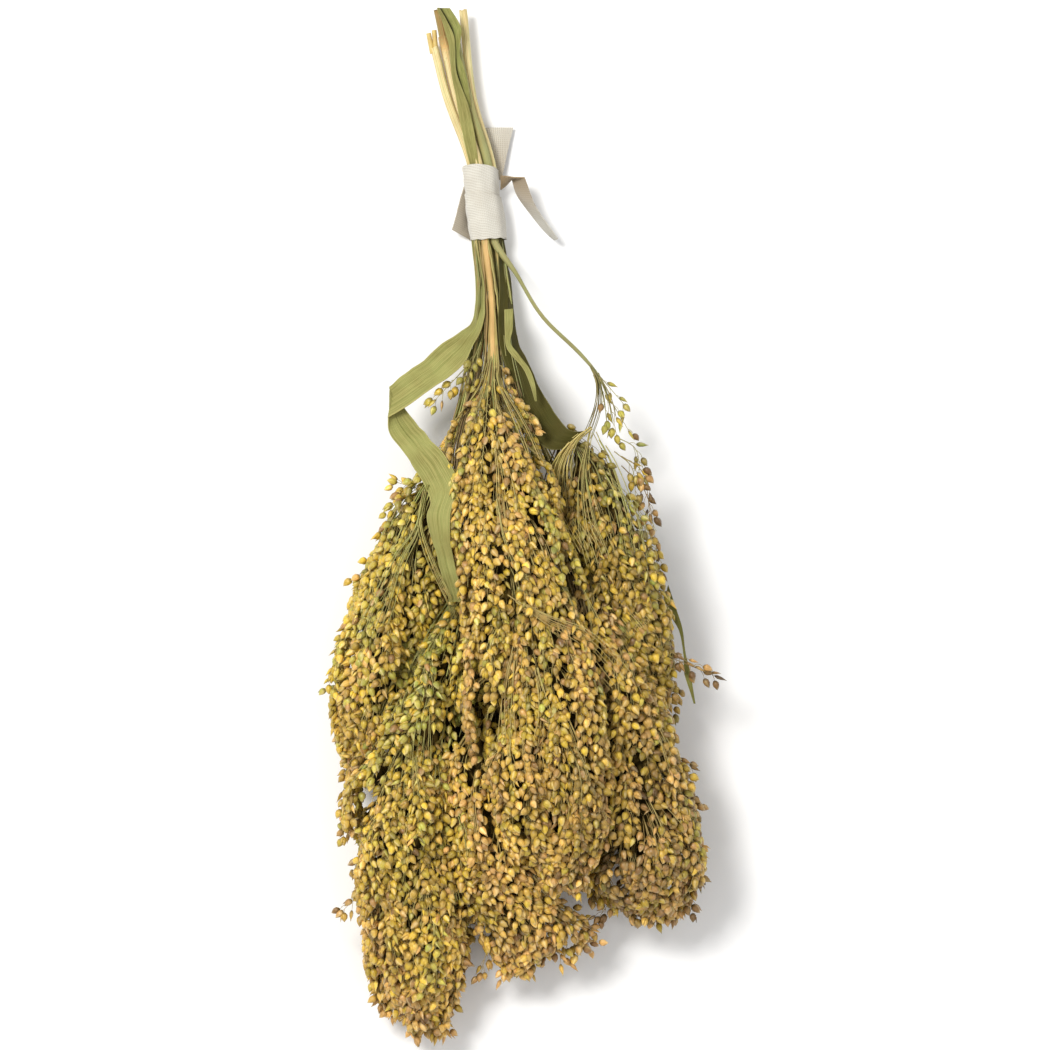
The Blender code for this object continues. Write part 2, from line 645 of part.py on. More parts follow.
def build():
    clear_scene()
    bunch = bpy.data.collections.new("millet_bunch")
    work = bpy.data.collections.new("work")
    bpy.context.scene.collection.children.link(bunch)
    bpy.context.scene.collection.children.link(work)
    for panicle in PANICLES:
        panicle_piece(panicle, work, bunch)
    leaf("leaf_left", LEFT_LEAF, 0.5, 0.25, SAGE, bunch)
    leaf("leaf_right", RIGHT_LEAF, -0.2, 0.2, OLIVE_BROWN, bunch)
    leaf("leaf_small", SMALL_LEAF, 0.3, 0.0, PALE_STRAW, bunch)
    leaf("leaf_tip", TIP_LEAF, 0.2, 0.0, SAGE, bunch)
    leaf("leaf_cut", CUT_LEAF, -0.5, 0.0, SAGE, bunch)
    tape_tie(COTTON, work, bunch)
    bpy.data.collections.remove(work)


build()
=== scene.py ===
"""Looks of a tied bunch of dried millet seed heads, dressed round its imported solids.

Lengths are written in millimetres and turned into metres by MM when a mesh is made. The cut stems point
along +Y, the seed heads hang towards -Y, and +Z is away from the surface that the bunch lies on. Each
seed head follows the form of its solid: its core is drawn in from it, and drooping tassels of spikelets
cover it. Every point of a mesh carries a tone: its hue, its shade and its place along and around a piece.
"""

from __future__ import annotations

import json
import logging
import math
from collections.abc import Callable
from dataclasses import dataclass, field
from enum import Enum
from typing import ClassVar

import bpy
import numpy as np
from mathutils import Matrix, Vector
from mathutils.bvhtree import BVHTree

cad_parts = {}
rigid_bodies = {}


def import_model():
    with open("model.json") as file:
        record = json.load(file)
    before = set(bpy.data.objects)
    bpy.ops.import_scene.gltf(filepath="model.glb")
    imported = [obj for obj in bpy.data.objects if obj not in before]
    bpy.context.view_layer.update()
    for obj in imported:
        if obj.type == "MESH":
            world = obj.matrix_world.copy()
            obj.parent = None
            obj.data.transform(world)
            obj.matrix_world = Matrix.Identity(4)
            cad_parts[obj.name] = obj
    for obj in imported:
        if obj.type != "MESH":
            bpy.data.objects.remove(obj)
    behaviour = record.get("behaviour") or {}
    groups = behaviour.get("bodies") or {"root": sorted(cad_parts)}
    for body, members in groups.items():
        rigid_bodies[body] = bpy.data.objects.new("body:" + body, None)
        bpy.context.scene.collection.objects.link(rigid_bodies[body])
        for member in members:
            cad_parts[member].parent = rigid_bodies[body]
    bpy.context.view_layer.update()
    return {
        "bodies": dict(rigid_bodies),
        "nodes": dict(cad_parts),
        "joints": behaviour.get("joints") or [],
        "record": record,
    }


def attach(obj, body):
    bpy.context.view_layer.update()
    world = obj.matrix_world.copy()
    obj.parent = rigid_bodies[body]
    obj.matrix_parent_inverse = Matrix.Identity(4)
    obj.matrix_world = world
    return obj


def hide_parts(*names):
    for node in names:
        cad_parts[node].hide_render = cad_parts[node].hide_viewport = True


LOG = logging.getLogger("millet_bunch")
MM = 0.001
BODY = "root"
TONE = "tone"

Point = tuple[float, float, float]
Station = tuple[float, float, float, float, float]
EdgePair = tuple[Point, Point]
Colour = tuple[float, float, float]
Pair = tuple[float, float]
Array = np.ndarray
Socket = bpy.types.NodeSocket
Material = bpy.types.Material
Object = bpy.types.Object

# The bundle where the tape holds it, in millimetres, as in the solids
CULM_RADIUS = 1.75
RING_RADIUS = 4.55
CUT_MIDDLE = (-34.0, 216.0, 9.2)
CUT_SPREAD = 1.6
CUT_BOW = (-28.4, 181.0, 9.2)
BOW_SPREAD = 1.25
TIE_TOP = (-18.9, 151.0, 9.2)
TIE_FOOT = (-16.4, 120.0, 9.2)
GATHER = (-13.4, 94.0, 15.0)
GATHER_SPREAD = 1.1
CULM_RUN_IN = 0.35

NECK_TOP = 124.0  # inside the tape
LOWEST = 0.9  # how near the middle lines come to the surface below, in millimetres
TOUCH = 0.15  # and how near any point comes to it
FEWEST_ROWS = 6  # in a stretch of a leaf or of the tape between its folds


def unit(vectors: Array) -> Array:
    """Scales vectors to length one, along their last axis."""
    return vectors / np.maximum(np.linalg.norm(vectors, axis=-1, keepdims=True), 1e-9)


def ease(value: Array | float) -> Array | float:
    """Eases a share from 0 to 1 with level ends."""
    held = np.clip(value, 0.0, 1.0)
    return held * held * (3 - 2 * held)


def spoke(turn: float) -> Array:
    """The direction away from a middle line, at a turn from +X towards +Z."""
    return np.array([math.cos(turn), 0.0, math.sin(turn)])


def read_line(line: Array, steps: Array, places: Array | float) -> Array:
    """Reads a line, whose points stand at steps, at places between them."""
    return np.stack([np.interp(places, steps, line[:, axis]) for axis in range(3)], -1)


def run_along(line: Array) -> Array:
    """How far along a line each of its points is."""
    return np.concatenate([[0], np.cumsum(np.linalg.norm(np.diff(line, axis=0), axis=1))])


def hold_up(points: Array, lowest: float = LOWEST) -> Array:
    """Keeps points off the surface below, and gives them back."""
    points[..., 2] = np.maximum(points[..., 2], lowest)
    return points


def ray_tree(solid: Object) -> BVHTree:
    """Prepares a solid for measuring with rays."""
    corners = [tuple(face.vertices) for face in solid.data.polygons]
    return BVHTree.FromPolygons([vert.co.copy() for vert in solid.data.vertices], corners)


def smooth(stations: list[Station], y: float) -> tuple[float, float, float, float]:
    """Reads stations at y on one smooth curve through them.

    Args:
        stations: Points (x, y, z, half width, half depth), with y falling.
        y: Where to read them.

    Returns:
        The x, z, half width and half depth there.
    """
    last = len(stations) - 1
    y = min(max(y, stations[last][1]), stations[0][1])
    k = next(k for k in range(last) if y >= stations[k + 1][1])
    a, b = stations[k], stations[k + 1]
    before, after = stations[max(k - 1, 0)], stations[min(k + 2, last)]
    span = a[1] - b[1]
    t = (a[1] - y) / span
    read = []
    for axis in (0, 2, 3, 4):
        slope_a = (b[axis] - before[axis]) / max(before[1] - b[1], 1e-6) * span
        slope_b = (after[axis] - a[axis]) / max(a[1] - after[1], 1e-6) * span
        curve = (
            a[axis] * (2 * t**3 - 3 * t**2 + 1)
            + slope_a * (t**3 - 2 * t**2 + t)
            + b[axis] * (3 * t**2 - 2 * t**3)
            + slope_b * (t**3 - t**2)
        )
        if axis > 2:
            low, high = sorted((a[axis], b[axis]))
            curve = min(max(curve, low), high)
        read.append(curve)
    return tuple(read)


def curve_through(points: Array, count: int) -> Array:
    """Draws a smooth curve through points.

    Args:
        points: The points that it passes, (n, 3).
        count: How many points to return, evenly spread over the stretches.

    Returns:
        Points on the curve, (count, 3).
    """
    points = np.asarray(points, float)
    if len(points) == 2:
        return points[0] + np.linspace(0, 1, count)[:, None] * (points[1] - points[0])
    padded = np.concatenate([[2 * points[0] - points[1]], points, [2 * points[-1] - points[-2]]])
    place = np.linspace(0, len(points) - 1, count)
    k = np.minimum(place.astype(int), len(points) - 2)
    t = (place - k)[:, None]
    p0, p1, p2, p3 = padded[k], padded[k + 1], padded[k + 2], padded[k + 3]
    return 0.5 * (
        2 * p1 + (p2 - p0) * t + (2 * p0 - 5 * p1 + 4 * p2 - p3) * t**2 + (3 * p1 - p0 - 3 * p2 + p3) * t**3
    )


class MeshStock:
    """Gathers the points, faces and tones of one piece, in millimetres, before it becomes a mesh."""

    def __init__(self) -> None:
        """Starts an empty stock."""
        self.points: list[Array] = []
        self.tones: list[Array] = []
        self.faces: list[Array] = []
        self.count = 0

    def add(self, points: Array, faces: list[Array], tones: Array) -> MeshStock:
        """Adds a shape.

        Args:
            points: Its points, (n, 3).
            faces: Its faces as arrays of three or four corners a row, counted from its own first point.
            tones: The tone of each point, (n, 4).

        Returns:
            The stock itself.
        """
        self.points.append(points)
        self.tones.append(tones)
        self.faces += [corners + self.count for corners in faces if len(corners)]
        self.count += len(points)
        return self

    def add_sheet(self, grid: Array, thickness: float, tones: Array) -> MeshStock:
        """Adds a thin sheet, from its middle surface and the tones of its points."""
        points, faces = thin_sheet(grid, thickness)
        return self.add(points, faces, np.concatenate([tones.reshape(-1, 4)] * 2))

    def piece(self, name: str, finish: Material, crease: float | None = None) -> Object:
        """Makes the stock one object.

        Args:
            name: The piece's name.
            finish: Its material.
            crease: Edges that bend more than this, in degrees, stay sharp.

        Returns:
            The new object, linked to the scene.
        """
        mesh = bpy.data.meshes.new(name)
        points = np.concatenate(self.points) * MM
        points[:, 2] = np.maximum(points[:, 2], TOUCH * MM)
        mesh.vertices.add(len(points))
        mesh.vertices.foreach_set("co", points.astype(np.float32).ravel())
        sides = np.concatenate([np.full(len(corners), corners.shape[1]) for corners in self.faces])
        corners = np.concatenate([corners.ravel() for corners in self.faces])
        mesh.loops.add(len(corners))
        mesh.loops.foreach_set("vertex_index", corners.astype(np.int32))
        mesh.polygons.add(len(sides))
        starts = np.concatenate([[0], np.cumsum(sides)[:-1]])
        mesh.polygons.foreach_set("loop_start", starts.astype(np.int32))
        mesh.polygons.foreach_set("use_smooth", np.ones(len(sides), bool))
        tone = mesh.attributes.new(TONE, "FLOAT_COLOR", "POINT")
        tone.data.foreach_set("color", np.concatenate(self.tones).astype(np.float32).ravel())
        mesh.update(calc_edges=True)
        mesh.validate()
        if crease is not None:
            mesh.set_sharp_from_angle(angle=math.radians(crease))
        mesh.materials.append(finish)
        made = bpy.data.objects.new(name, mesh)
        bpy.context.scene.collection.objects.link(made)
        LOG.info("%s: %d triangles", name, int((sides - 2).sum()))
        return made


def grid_faces(rows: int, columns: int, closed: bool) -> Array:
    """Lists the four-sided faces of a grid.

    Args:
        rows: Rows of points.
        columns: Points in a row.
        closed: Whether each row's last point meets its first.

    Returns:
        The corners of each face, (n, 4).
    """
    across = columns if closed else columns - 1
    r, c = np.meshgrid(np.arange(rows - 1), np.arange(across), indexing="ij")
    r, c = r.ravel(), c.ravel()
    right = (c + 1) % columns
    upper, lower = r * columns, (r + 1) * columns
    return np.stack([upper + c, upper + right, lower + right, lower + c], 1)


def skin(rings: Array) -> tuple[Array, list[Array]]:
    """Closes rings of points into a tube with capped ends.

    Args:
        rings: The rings, (n, sides, 3), turning left seen along the tube.

    Returns:
        The points, with the two caps' middles last, and the faces.
    """
    count, sides = rings.shape[:2]
    ends = np.stack([rings[0].mean(0), rings[-1].mean(0)])
    points = np.concatenate([rings.reshape(-1, 3), ends])
    k = np.arange(sides)
    following = (k + 1) % sides
    first, last = count * sides, count * sides + 1
    foot = np.stack([np.full(sides, first), following, k], 1)
    top = np.stack([np.full(sides, last), (count - 1) * sides + k, (count - 1) * sides + following], 1)
    return points, [grid_faces(count, sides, True), foot, top]


def round_rings(paths: Array, radii: Array, sides: int) -> Array:
    """Sets rings round lines.

    Args:
        paths: The lines' points, (n, m, 3).
        radii: The radius at each point, (n, m) or with a last axis for the sides.
        sides: Points in a ring.

    Returns:
        The rings' points, (n, m, sides, 3).
    """
    along = unit(np.gradient(paths, axis=1))
    helper = np.where(np.abs(along[..., 2:]) < 0.9, [0.0, 0.0, 1.0], [1.0, 0.0, 0.0])
    side = unit(np.cross(helper, along))
    up = np.cross(along, side)
    turn = 2 * math.pi * np.arange(sides) / sides
    if radii.ndim == 2:
        radii = radii[..., None]
    ring = np.cos(turn)[:, None] * side[:, :, None] + np.sin(turn)[:, None] * up[:, :, None]
    return paths[:, :, None] + radii[..., None] * ring


def thin_sheet(grid: Array, thickness: float) -> tuple[Array, list[Array]]:
    """Gives an open sheet its thickness, with a rim all round.

    Args:
        grid: The sheet's middle surface, (rows, columns, 3).
        thickness: How thick it is, in millimetres.

    Returns:
        The points, upper side first, and the faces.
    """
    rows, columns = grid.shape[:2]
    normal = unit(np.cross(np.gradient(grid, axis=0), np.gradient(grid, axis=1)))
    upper = (grid + normal * thickness / 2).reshape(-1, 3)
    lower = (grid - normal * thickness / 2).reshape(-1, 3)
    faces = grid_faces(rows, columns, False)
    count = rows * columns
    index = np.arange(count).reshape(rows, columns)
    rim = np.concatenate([index[0, :-1], index[:-1, -1], index[-1, :0:-1], index[:0:-1, 0]])
    after = np.roll(rim, -1)
    edge = np.stack([rim, after, after + count, rim + count], 1)
    return np.concatenate([upper, lower]), [faces[:, ::-1], faces + count, edge]


def edges_through(
    pairs: list[EdgePair], folds: tuple[int, ...], rows_for: Callable[[Array, Array], int]
) -> tuple[Array, Array]:
    """Draws both edges of a strip through pairs of points.

    Args:
        pairs: The pairs of edge points.
        folds: The pairs at which the strip is folded sharply.
        rows_for: Gives the rows of a stretch between folds, from its two edges' points.

    Returns:
        The points of both edges.
    """
    cuts = [0, *folds, len(pairs) - 1]
    edges = []
    for a, b in zip(cuts, cuts[1:]):
        sides = np.array(pairs[a : b + 1], float).transpose(1, 0, 2)
        rows = max(FEWEST_ROWS, rows_for(*sides))
        edges.append([curve_through(side, rows) for side in sides])
    left, right = zip(*edges)
    return np.concatenate(left), np.concatenate(right)


class HuskForm(Enum):
    """The forms of a spikelet."""

    PLUMP = "plump"
    SLENDER = "slender"
    HOODED = "hooded"


@dataclass(frozen=True)
class HuskShape:
    """A spikelet of length and width one, with its foot at the origin and its tip on +Z."""

    TIP_LEAN: ClassVar[float] = 0.06

    rings: tuple[Pair, ...]
    sides: int = 5
    flattened: float = 0.86
    hood: bool = False

    def build(self) -> tuple[Array, list[Array], Array]:
        """Makes the shape.

        Returns:
            Its points, its faces, and for each point its place along and around the shape.
        """
        turn = 2 * math.pi * np.arange(self.sides) / self.sides
        points, marks = [[0.0, 0.0, 0.0]], [[0.0, 0.0]]
        for along, width in self.rings:
            for angle in turn:
                x, y = width / 2 * math.cos(angle), width / 2 * self.flattened * math.sin(angle)
                points.append([x, y, along])
                marks.append([along, angle / (2 * math.pi)])
        points.append([self.TIP_LEAN, 0.0, 1.0])
        marks.append([1.0, 0.0])
        k = np.arange(self.sides)
        following = (k + 1) % self.sides
        tip = len(points) - 1
        base = 1 + (len(self.rings) - 1) * self.sides
        faces = [
            np.stack([np.zeros_like(k), 1 + following, 1 + k], 1),
            grid_faces(len(self.rings), self.sides, True) + 1,
            np.stack([np.full(self.sides, tip), base + k, base + following], 1),
        ]
        if self.hood:
            start = len(points)
            points += HOOD_POINTS
            marks += HOOD_MARKS
            faces.append(np.array(HOOD_FACES) + start)
        return np.array(points), faces, np.array(marks)


# The open second husk of a hooded spikelet, and the place of its points along and around the spikelet
HOOD_POINTS = ((-0.1, 0, 0.02), (-0.34, 0.34, 0.42), (-0.34, -0.34, 0.42), (-0.56, 0, 0.46), (-0.5, 0, 1.06))
HOOD_MARKS = ((0.0, 0.5), (0.4, 0.4), (0.4, 0.6), (0.5, 0.5), (1.0, 0.5))
HOOD_FACES = ((0, 3, 1), (0, 2, 3), (1, 3, 4), (3, 2, 4), (0, 1, 4), (0, 4, 2))
PLUMP_RINGS = ((0.06, 0.52), (0.28, 0.99), (0.56, 0.95), (0.82, 0.48))
SLENDER_RINGS = ((0.06, 0.4), (0.26, 0.8), (0.54, 0.66), (0.8, 0.24))
HUSK_SHAPES = {
    HuskForm.PLUMP: HuskShape(PLUMP_RINGS),
    HuskForm.SLENDER: HuskShape(SLENDER_RINGS, flattened=0.7),
    HuskForm.HOODED: HuskShape(PLUMP_RINGS, hood=True),
}


class SpikeletCrop:
    """The spikelets of one panicle: where each one hangs, and its size and tone."""

    def __init__(self) -> None:
        """Starts with no spikelet."""
        self.rows: dict[HuskForm, list[Array]] = {form: [] for form in HuskForm}

    def hang(self, form: HuskForm, feet: Array, aims: Array, sizes: Array, tones: Array) -> None:
        """Hangs spikelets with their aims, sizes (length, width, roll) and tones (hue, shade)."""
        if len(feet):
            self.rows[form].append(np.concatenate([feet, unit(aims), sizes, tones], axis=1))

    def total(self) -> int:
        """How many spikelets hang."""
        return sum(len(block) for blocks in self.rows.values() for block in blocks)

    def pour(self, stock: MeshStock) -> None:
        """Puts every spikelet's shape into a stock."""
        for form, blocks in self.rows.items():
            if not blocks:
                continue
            rows = np.concatenate(blocks)
            points, faces, marks = HUSK_SHAPES[form].build()
            foot, aim, size, tone = rows[:, :3], rows[:, 3:6], rows[:, 6:9], rows[:, 9:11]
            helper = np.where(np.abs(aim[:, 2:]) < 0.9, [0.0, 0.0, 1.0], [1.0, 0.0, 0.0])
            level = unit(np.cross(aim, helper))
            rise = np.cross(aim, level)
            cosine, sine = np.cos(size[:, 2:]), np.sin(size[:, 2:])
            side, up = cosine * level + sine * rise, cosine * rise - sine * level
            aside = points[None, :, :1] * side[:, None] + points[None, :, 1:2] * up[:, None]
            lengthwise = points[None, :, 2:] * size[:, None, :1] * aim[:, None]
            placed = foot[:, None] + lengthwise + size[:, None, 1:2] * aside
            count, each = len(rows), len(points)
            tones = np.concatenate(
                [np.repeat(tone[:, None], each, 1), np.repeat(marks[None], count, 0)], axis=2
            )
            shift = (np.arange(count) * each)[:, None, None]
            copies = [(part[None] + shift).reshape(-1, part.shape[1]) for part in faces]
            stock.add(placed.reshape(-1, 3), copies, tones.reshape(-1, 4))


class StalkCrop:
    """The fine branches of one panicle, as lines with a thickness and a tone."""

    def __init__(self) -> None:
        """Starts with no stalk."""
        self.lines: dict[tuple[int, int], list[tuple[Array, float, float, float, float]]] = {}

    def lay(
        self, path: Array, thick: float, thin: float, hue: float, shade: float, sides: int = 3
    ) -> None:
        """Lays one stalk along its points, from its thick foot to its thin end (radii, in millimetres)."""
        self.lines.setdefault((len(path), sides), []).append((path, thick, thin, hue, shade))

    def pour(self, stock: MeshStock) -> None:
        """Puts every stalk's tube into a stock."""
        for (length, sides), lines in self.lines.items():
            paths = np.stack([line[0] for line in lines])
            rest = np.array([line[1:] for line in lines])
            place = np.linspace(0, 1, length)
            radii = rest[:, :1] + (rest[:, 1:2] - rest[:, :1]) * place
            rings = round_rings(paths, radii, sides)
            count, each = len(lines), length * sides
            tones = np.empty((count, length, sides, 4))
            tones[..., 0] = rest[:, 2, None, None]
            tones[..., 1] = rest[:, 3, None, None]
            tones[..., 2] = place[None, :, None]
            tones[..., 3] = np.arange(sides) / sides
            faces = grid_faces(length, sides, True)
            shift = (np.arange(count) * each)[:, None, None]
            stock.add(rings.reshape(-1, 3), [(faces[None] + shift).reshape(-1, 4)], tones.reshape(-1, 4))


@dataclass(frozen=True)
class Spray:
    """A loose branch that stands out of a head, with a few spikelets."""

    root: Point
    tip: Point
    spikelets: int = 7
    hue: float = 0.72
    bow: Point = (0.0, 0.0, 0.0)
    side_length: float = 4.0


@dataclass(frozen=True)
class Comb:
    """A sheaf of fine branches that lie side by side over the heads, with few or no spikelets."""

    line: tuple[Pair, ...]  # seen from above
    count: int
    spread: Pair  # half its width at its start and at its end
    hue: float
    shade: float = 0.6
    radius: float = 0.27
    lift: float = 2.0


@dataclass
class Panicle:
    """One culm with its seed head. Stations are (x, y, z, half width, half depth)."""

    name: str
    slot: float
    cut_y: float
    culm: list[Point]
    head: list[Station]
    hues: Pair
    seed: int
    culm_hue: float = 0.45
    culm_shade: float = 0.55
    peduncle: float = 1.0  # the culm's radius below the tape
    # How light its husks are, lower for a head that is painted darker as the shade it lies in.
    shade: float = 0.5
    in_ring: bool = True
    gathered: bool = True
    cut_shift: float = 0.0  # how far its cut end leans to the right of its place in the bundle
    slivers: list[tuple[Point, Point]] = field(default_factory=list)  # torn strips at its cut end
    density: float = 1.0
    loose_side: list[Pair] = field(default_factory=list)  # levels, and the x where it turns sparse
    slender: float = 0.16  # the share of slender, half-empty husks
    first_branches: int = 18
    followers: int = 5
    open_front: float = 0.0  # no thin stem hides its culm within this angle of straight up, in radians
    culm_hues: list[Pair] = field(default_factory=list)  # levels and the hue at each
    sprays: list[Spray] = field(default_factory=list)
    combs: list[Comb] = field(default_factory=list)

    def full(self) -> bool:
        """Whether it has a full head, not only sprays."""
        return len(self.head) > 3

    def offset(self) -> Pair:
        """Where the culm stands in the tied ring, from the bundle's middle."""
        if not self.in_ring:
            return 0.0, 0.0
        turn = math.radians(self.slot)
        return RING_RADIUS * math.cos(turn), RING_RADIUS * math.sin(turn)

    def stations(self) -> list[Station]:
        """Every station from the cut end to the head's tip."""
        ox, oz = self.offset()

        def bundled(middle: Point, spread: float, y: float) -> Station:
            """One station of the culm inside the bundle."""
            return (middle[0] + spread * ox, y, middle[2] + spread * oz, CULM_RADIUS, CULM_RADIUS)

        cut = bundled(CUT_MIDDLE, CUT_SPREAD, self.cut_y)
        held = [
            (cut[0] + self.cut_shift, *cut[1:]),
            bundled(CUT_BOW, BOW_SPREAD, CUT_BOW[1]),
            bundled(TIE_TOP, 1.0, TIE_TOP[1]),
            bundled(TIE_FOOT, 1.0, TIE_FOOT[1]),
        ]
        if self.gathered:
            held.append(bundled(GATHER, GATHER_SPREAD, GATHER[1]))
        return held + [(*point, CULM_RADIUS, CULM_RADIUS) for point in self.culm] + self.head

    def line(self, high: float, low: float, count: int) -> Array:
        """The middle line from the y high down to the y low, as (count, 3) points."""
        stations = self.stations()
        levels = np.linspace(high, low, count)
        return np.array([(read[0], y, read[1]) for y in levels for read in [smooth(stations, y)]])


class HeadForm:
    """The outer form of one seed head, measured on its solid."""

    LEVELS = 64
    TURNS = 40
    CAP = 1.12  # a ray that leaves through a spray is cut back to this share of the nominal form
    RELIEF = 1.0  # the grains stand out this far from the smoothed form, in millimetres
    BLUNT = 4.6  # the form is taken to be at least this far across from its middle, in millimetres
    PAST = 4.0  # and to go on this far past its ends
    OUT = 9.0  # the share of the way out that a point past its ends gets

    def __init__(self, panicle: Panicle, solid: Object) -> None:
        """Measures the head's solid from its middle line outwards.

        Args:
            panicle: The panicle that it belongs to.
            solid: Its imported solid.
        """
        stations = panicle.stations()
        self.top, self.tip = panicle.head[0][1], panicle.head[-1][1]
        self.levels = np.linspace(self.top, self.tip, self.LEVELS)
        read = np.array([smooth(stations, y) for y in self.levels])
        self.centre_x, self.centre_z, self.width, self.depth = read.T
        tree = ray_tree(solid)
        turns = 2 * math.pi * np.arange(self.TURNS) / self.TURNS
        reach = np.empty((self.LEVELS, self.TURNS))
        for row, (y, x, z) in enumerate(zip(self.levels, self.centre_x, self.centre_z)):
            nominal = self.nominal(row, turns)
            for column, turn in enumerate(turns):
                ray = Vector((math.cos(turn), 0.0, math.sin(turn)))
                distance = tree.ray_cast(Vector((x, y, z)) * MM, ray)[3]
                measured = distance / MM if distance else nominal[column]
                reach[row, column] = min(measured, self.CAP * nominal[column])
        for _ in range(2):
            reach = (np.roll(reach, 1, 1) + 2 * reach + np.roll(reach, -1, 1)) / 4
            padded = np.concatenate([reach[:1], reach, reach[-1:]])
            reach = (padded[:-2] + 2 * padded[1:-1] + padded[2:]) / 4
        self.reaches = reach + self.RELIEF

    def nominal(self, row: int | Array, turn: Array) -> Array:
        """The distance from the middle line to the drawn ellipse, at a level and in a direction."""
        return 1 / np.hypot(np.cos(turn) / self.width[row], np.sin(turn) / self.depth[row])

    def down(self, y: Array) -> Array:
        """How far down the levels y is, as a fractional row."""
        return np.clip((self.top - y) / (self.top - self.tip), 0, 1) * (self.LEVELS - 1)

    def reach(self, y: Array, turn: Array) -> Array:
        """The distance from the middle line to the surface.

        Args:
            y: The levels, in millimetres.
            turn: The directions, in radians from +X towards +Z.

        Returns:
            The distances.
        """
        row = self.down(y)
        column = (turn / (2 * math.pi) % 1.0) * self.TURNS
        r0, c0 = row.astype(int), column.astype(int) % self.TURNS
        r1, c1 = np.minimum(r0 + 1, self.LEVELS - 1), (c0 + 1) % self.TURNS
        a, b = row - r0, column - column.astype(int)
        upper = self.reaches[r0, c0] * (1 - b) + self.reaches[r0, c1] * b
        lower = self.reaches[r1, c0] * (1 - b) + self.reaches[r1, c1] * b
        return np.maximum(upper * (1 - a) + lower * a, self.BLUNT)

    def centre(self, y: Array) -> Array:
        """The middle line's points at the levels y."""
        rows = np.arange(self.LEVELS)
        row = self.down(y)
        return np.stack([np.interp(row, rows, self.centre_x), y, np.interp(row, rows, self.centre_z)], -1)

    def point(self, y: Array, turn: Array, share: Array) -> Array:
        """Points at shares of the way from the middle line to the surface."""
        reach = (self.reach(y, turn) * share)[..., None]
        away = np.stack([np.cos(turn), np.zeros_like(turn), np.sin(turn)], -1)
        return self.centre(y) + reach * away

    def share(self, points: Array) -> tuple[Array, Array]:
        """How far out points lie, as shares of the way to the surface.

        Args:
            points: The points, (n, 3).

        Returns:
            The shares, and the middle line's points beside them. Points past the head's ends count as out.
        """
        centre = self.centre(points[:, 1])
        away = points - centre
        turn = np.arctan2(away[:, 2], away[:, 0])
        out = np.hypot(away[:, 0], away[:, 2]) / np.maximum(self.reach(points[:, 1], turn), 0.5)
        beyond = (points[:, 1] > self.top + self.PAST) | (points[:, 1] < self.tip - self.PAST)
        return np.where(beyond, self.OUT, out), centre


class Canopy:
    """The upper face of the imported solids, on which loose branches lie."""

    ABOVE = 200.0

    def __init__(self, solids: list[Object]) -> None:
        """Reads the solids."""
        self.trees = [ray_tree(solid) for solid in solids]

    def top(self, x: float, y: float) -> float:
        """The height of the uppermost face over a spot, or no number where there is none."""
        above, down = Vector((x, y, self.ABOVE)) * MM, Vector((0.0, 0.0, -1.0))
        hits = [tree.ray_cast(above, down)[0] for tree in self.trees]
        heights = [hit.z / MM for hit in hits if hit]
        return max(heights) if heights else math.nan

    def drape(self, line: Array, lift: float) -> Array:
        """Lays a flat line on the solids.

        Args:
            line: Its points seen from above, (n, 2).
            lift: How far over the solids it runs, in millimetres.

        Returns:
            The line's points with their heights, (n, 3).
        """
        heights = np.array([self.top(x, y) for x, y in line])
        found = ~np.isnan(heights)
        steps = np.arange(len(line))
        heights = np.interp(steps, steps[found], heights[found])
        for _ in range(4):
            padded = np.concatenate([heights[:1], heights, heights[-1:]])
            heights = np.maximum(heights, (padded[:-2] + padded[1:-1] + padded[2:]) / 3)
        return np.column_stack([line, heights + lift])


# The radii of the fine branches at their foot and end, in millimetres
SLIVER, FIRST_BRANCH, BRANCH, STRAND = (1.1, 1.0), (0.42, 0.18), (0.36, 0.14), (0.25, 0.13)
SPRAY, STRING, STALK, SIDE_STALK = (0.3, 0.13), (0.22, 0.1), (0.16, 0.12), (0.15, 0.11)


@dataclass
class Tassels:
    """How a head's drooping tassels are laid out, in millimetres and shares."""

    row_pitch: float = 16.0
    arc_pitch: float = 9.2
    stray: Pair = (0.3, 0.35)  # how far a tassel strays around and down, in pitches
    length: Pair = (28.0, 52.0)
    past_tip: Pair = (-8.0, 3.5)  # how far past the head's tip a tassel may reach
    steps: int = 9
    drift: float = 0.15  # how far it swings round the head, in radians
    rise: float = 0.12  # the share of it that stands above its level
    root: float = 0.42  # how far out it starts, as a share of how far out it hangs
    past_side: float = 2.0  # how far it may hang past the side where its head turns sparse
    strings: int = 6
    string_steps: int = 6
    string_roots: float = 0.78  # strings leave the branch above this share of it
    string_length: Pair = (12.0, 25.0)
    string_spread: float = 4.8
    spikelet_pitch: float = 2.55
    bare: float = 0.16  # the share of a string that comes before its first spikelet
    fewest: int = 3  # spikelets on a string
    stand: Pair = (0.81, 1.03)  # how far out an ordinary tassel hangs
    loose_share: Pair = (0.08, 0.42)  # the share of loose ones, above and at the sides
    loose_stand: Pair = (1.04, 1.22)  # and how far out those hang
    bare_share: float = 0.5  # the share of tassels with bare strands over them
    bare_strands: int = 4
    back_share: float = 0.34  # the share of tassels that grow on the side that faces the surface
    hidden_share: float = 0.08  # and where a neighbour covers them
    look_out: float = 7.0  # a neighbour within this distance covers a tassel
    look_down: float = 10.0  # that far below its level
    deepest: float = 0.78  # nothing grows this far inside a neighbour
    painted_inner_shade: float = 0.8  # painted shade: how much darker the husks get towards the inside
    # the share of the way out inside which the painted shade starts
    painted_shade_from: float = 0.97
    inner_share: float = 0.79  # inside this, few husks are left
    inner_kept: float = 0.2
    sparse_kept: float = 0.14  # the share of husks left past the side where the head turns sparse
    full_reach: float = 12.0  # a head thinner than this has fewer husks
    thinnest: float = 0.45
    stalked: float = 0.35  # the share of husks whose own stalk shows


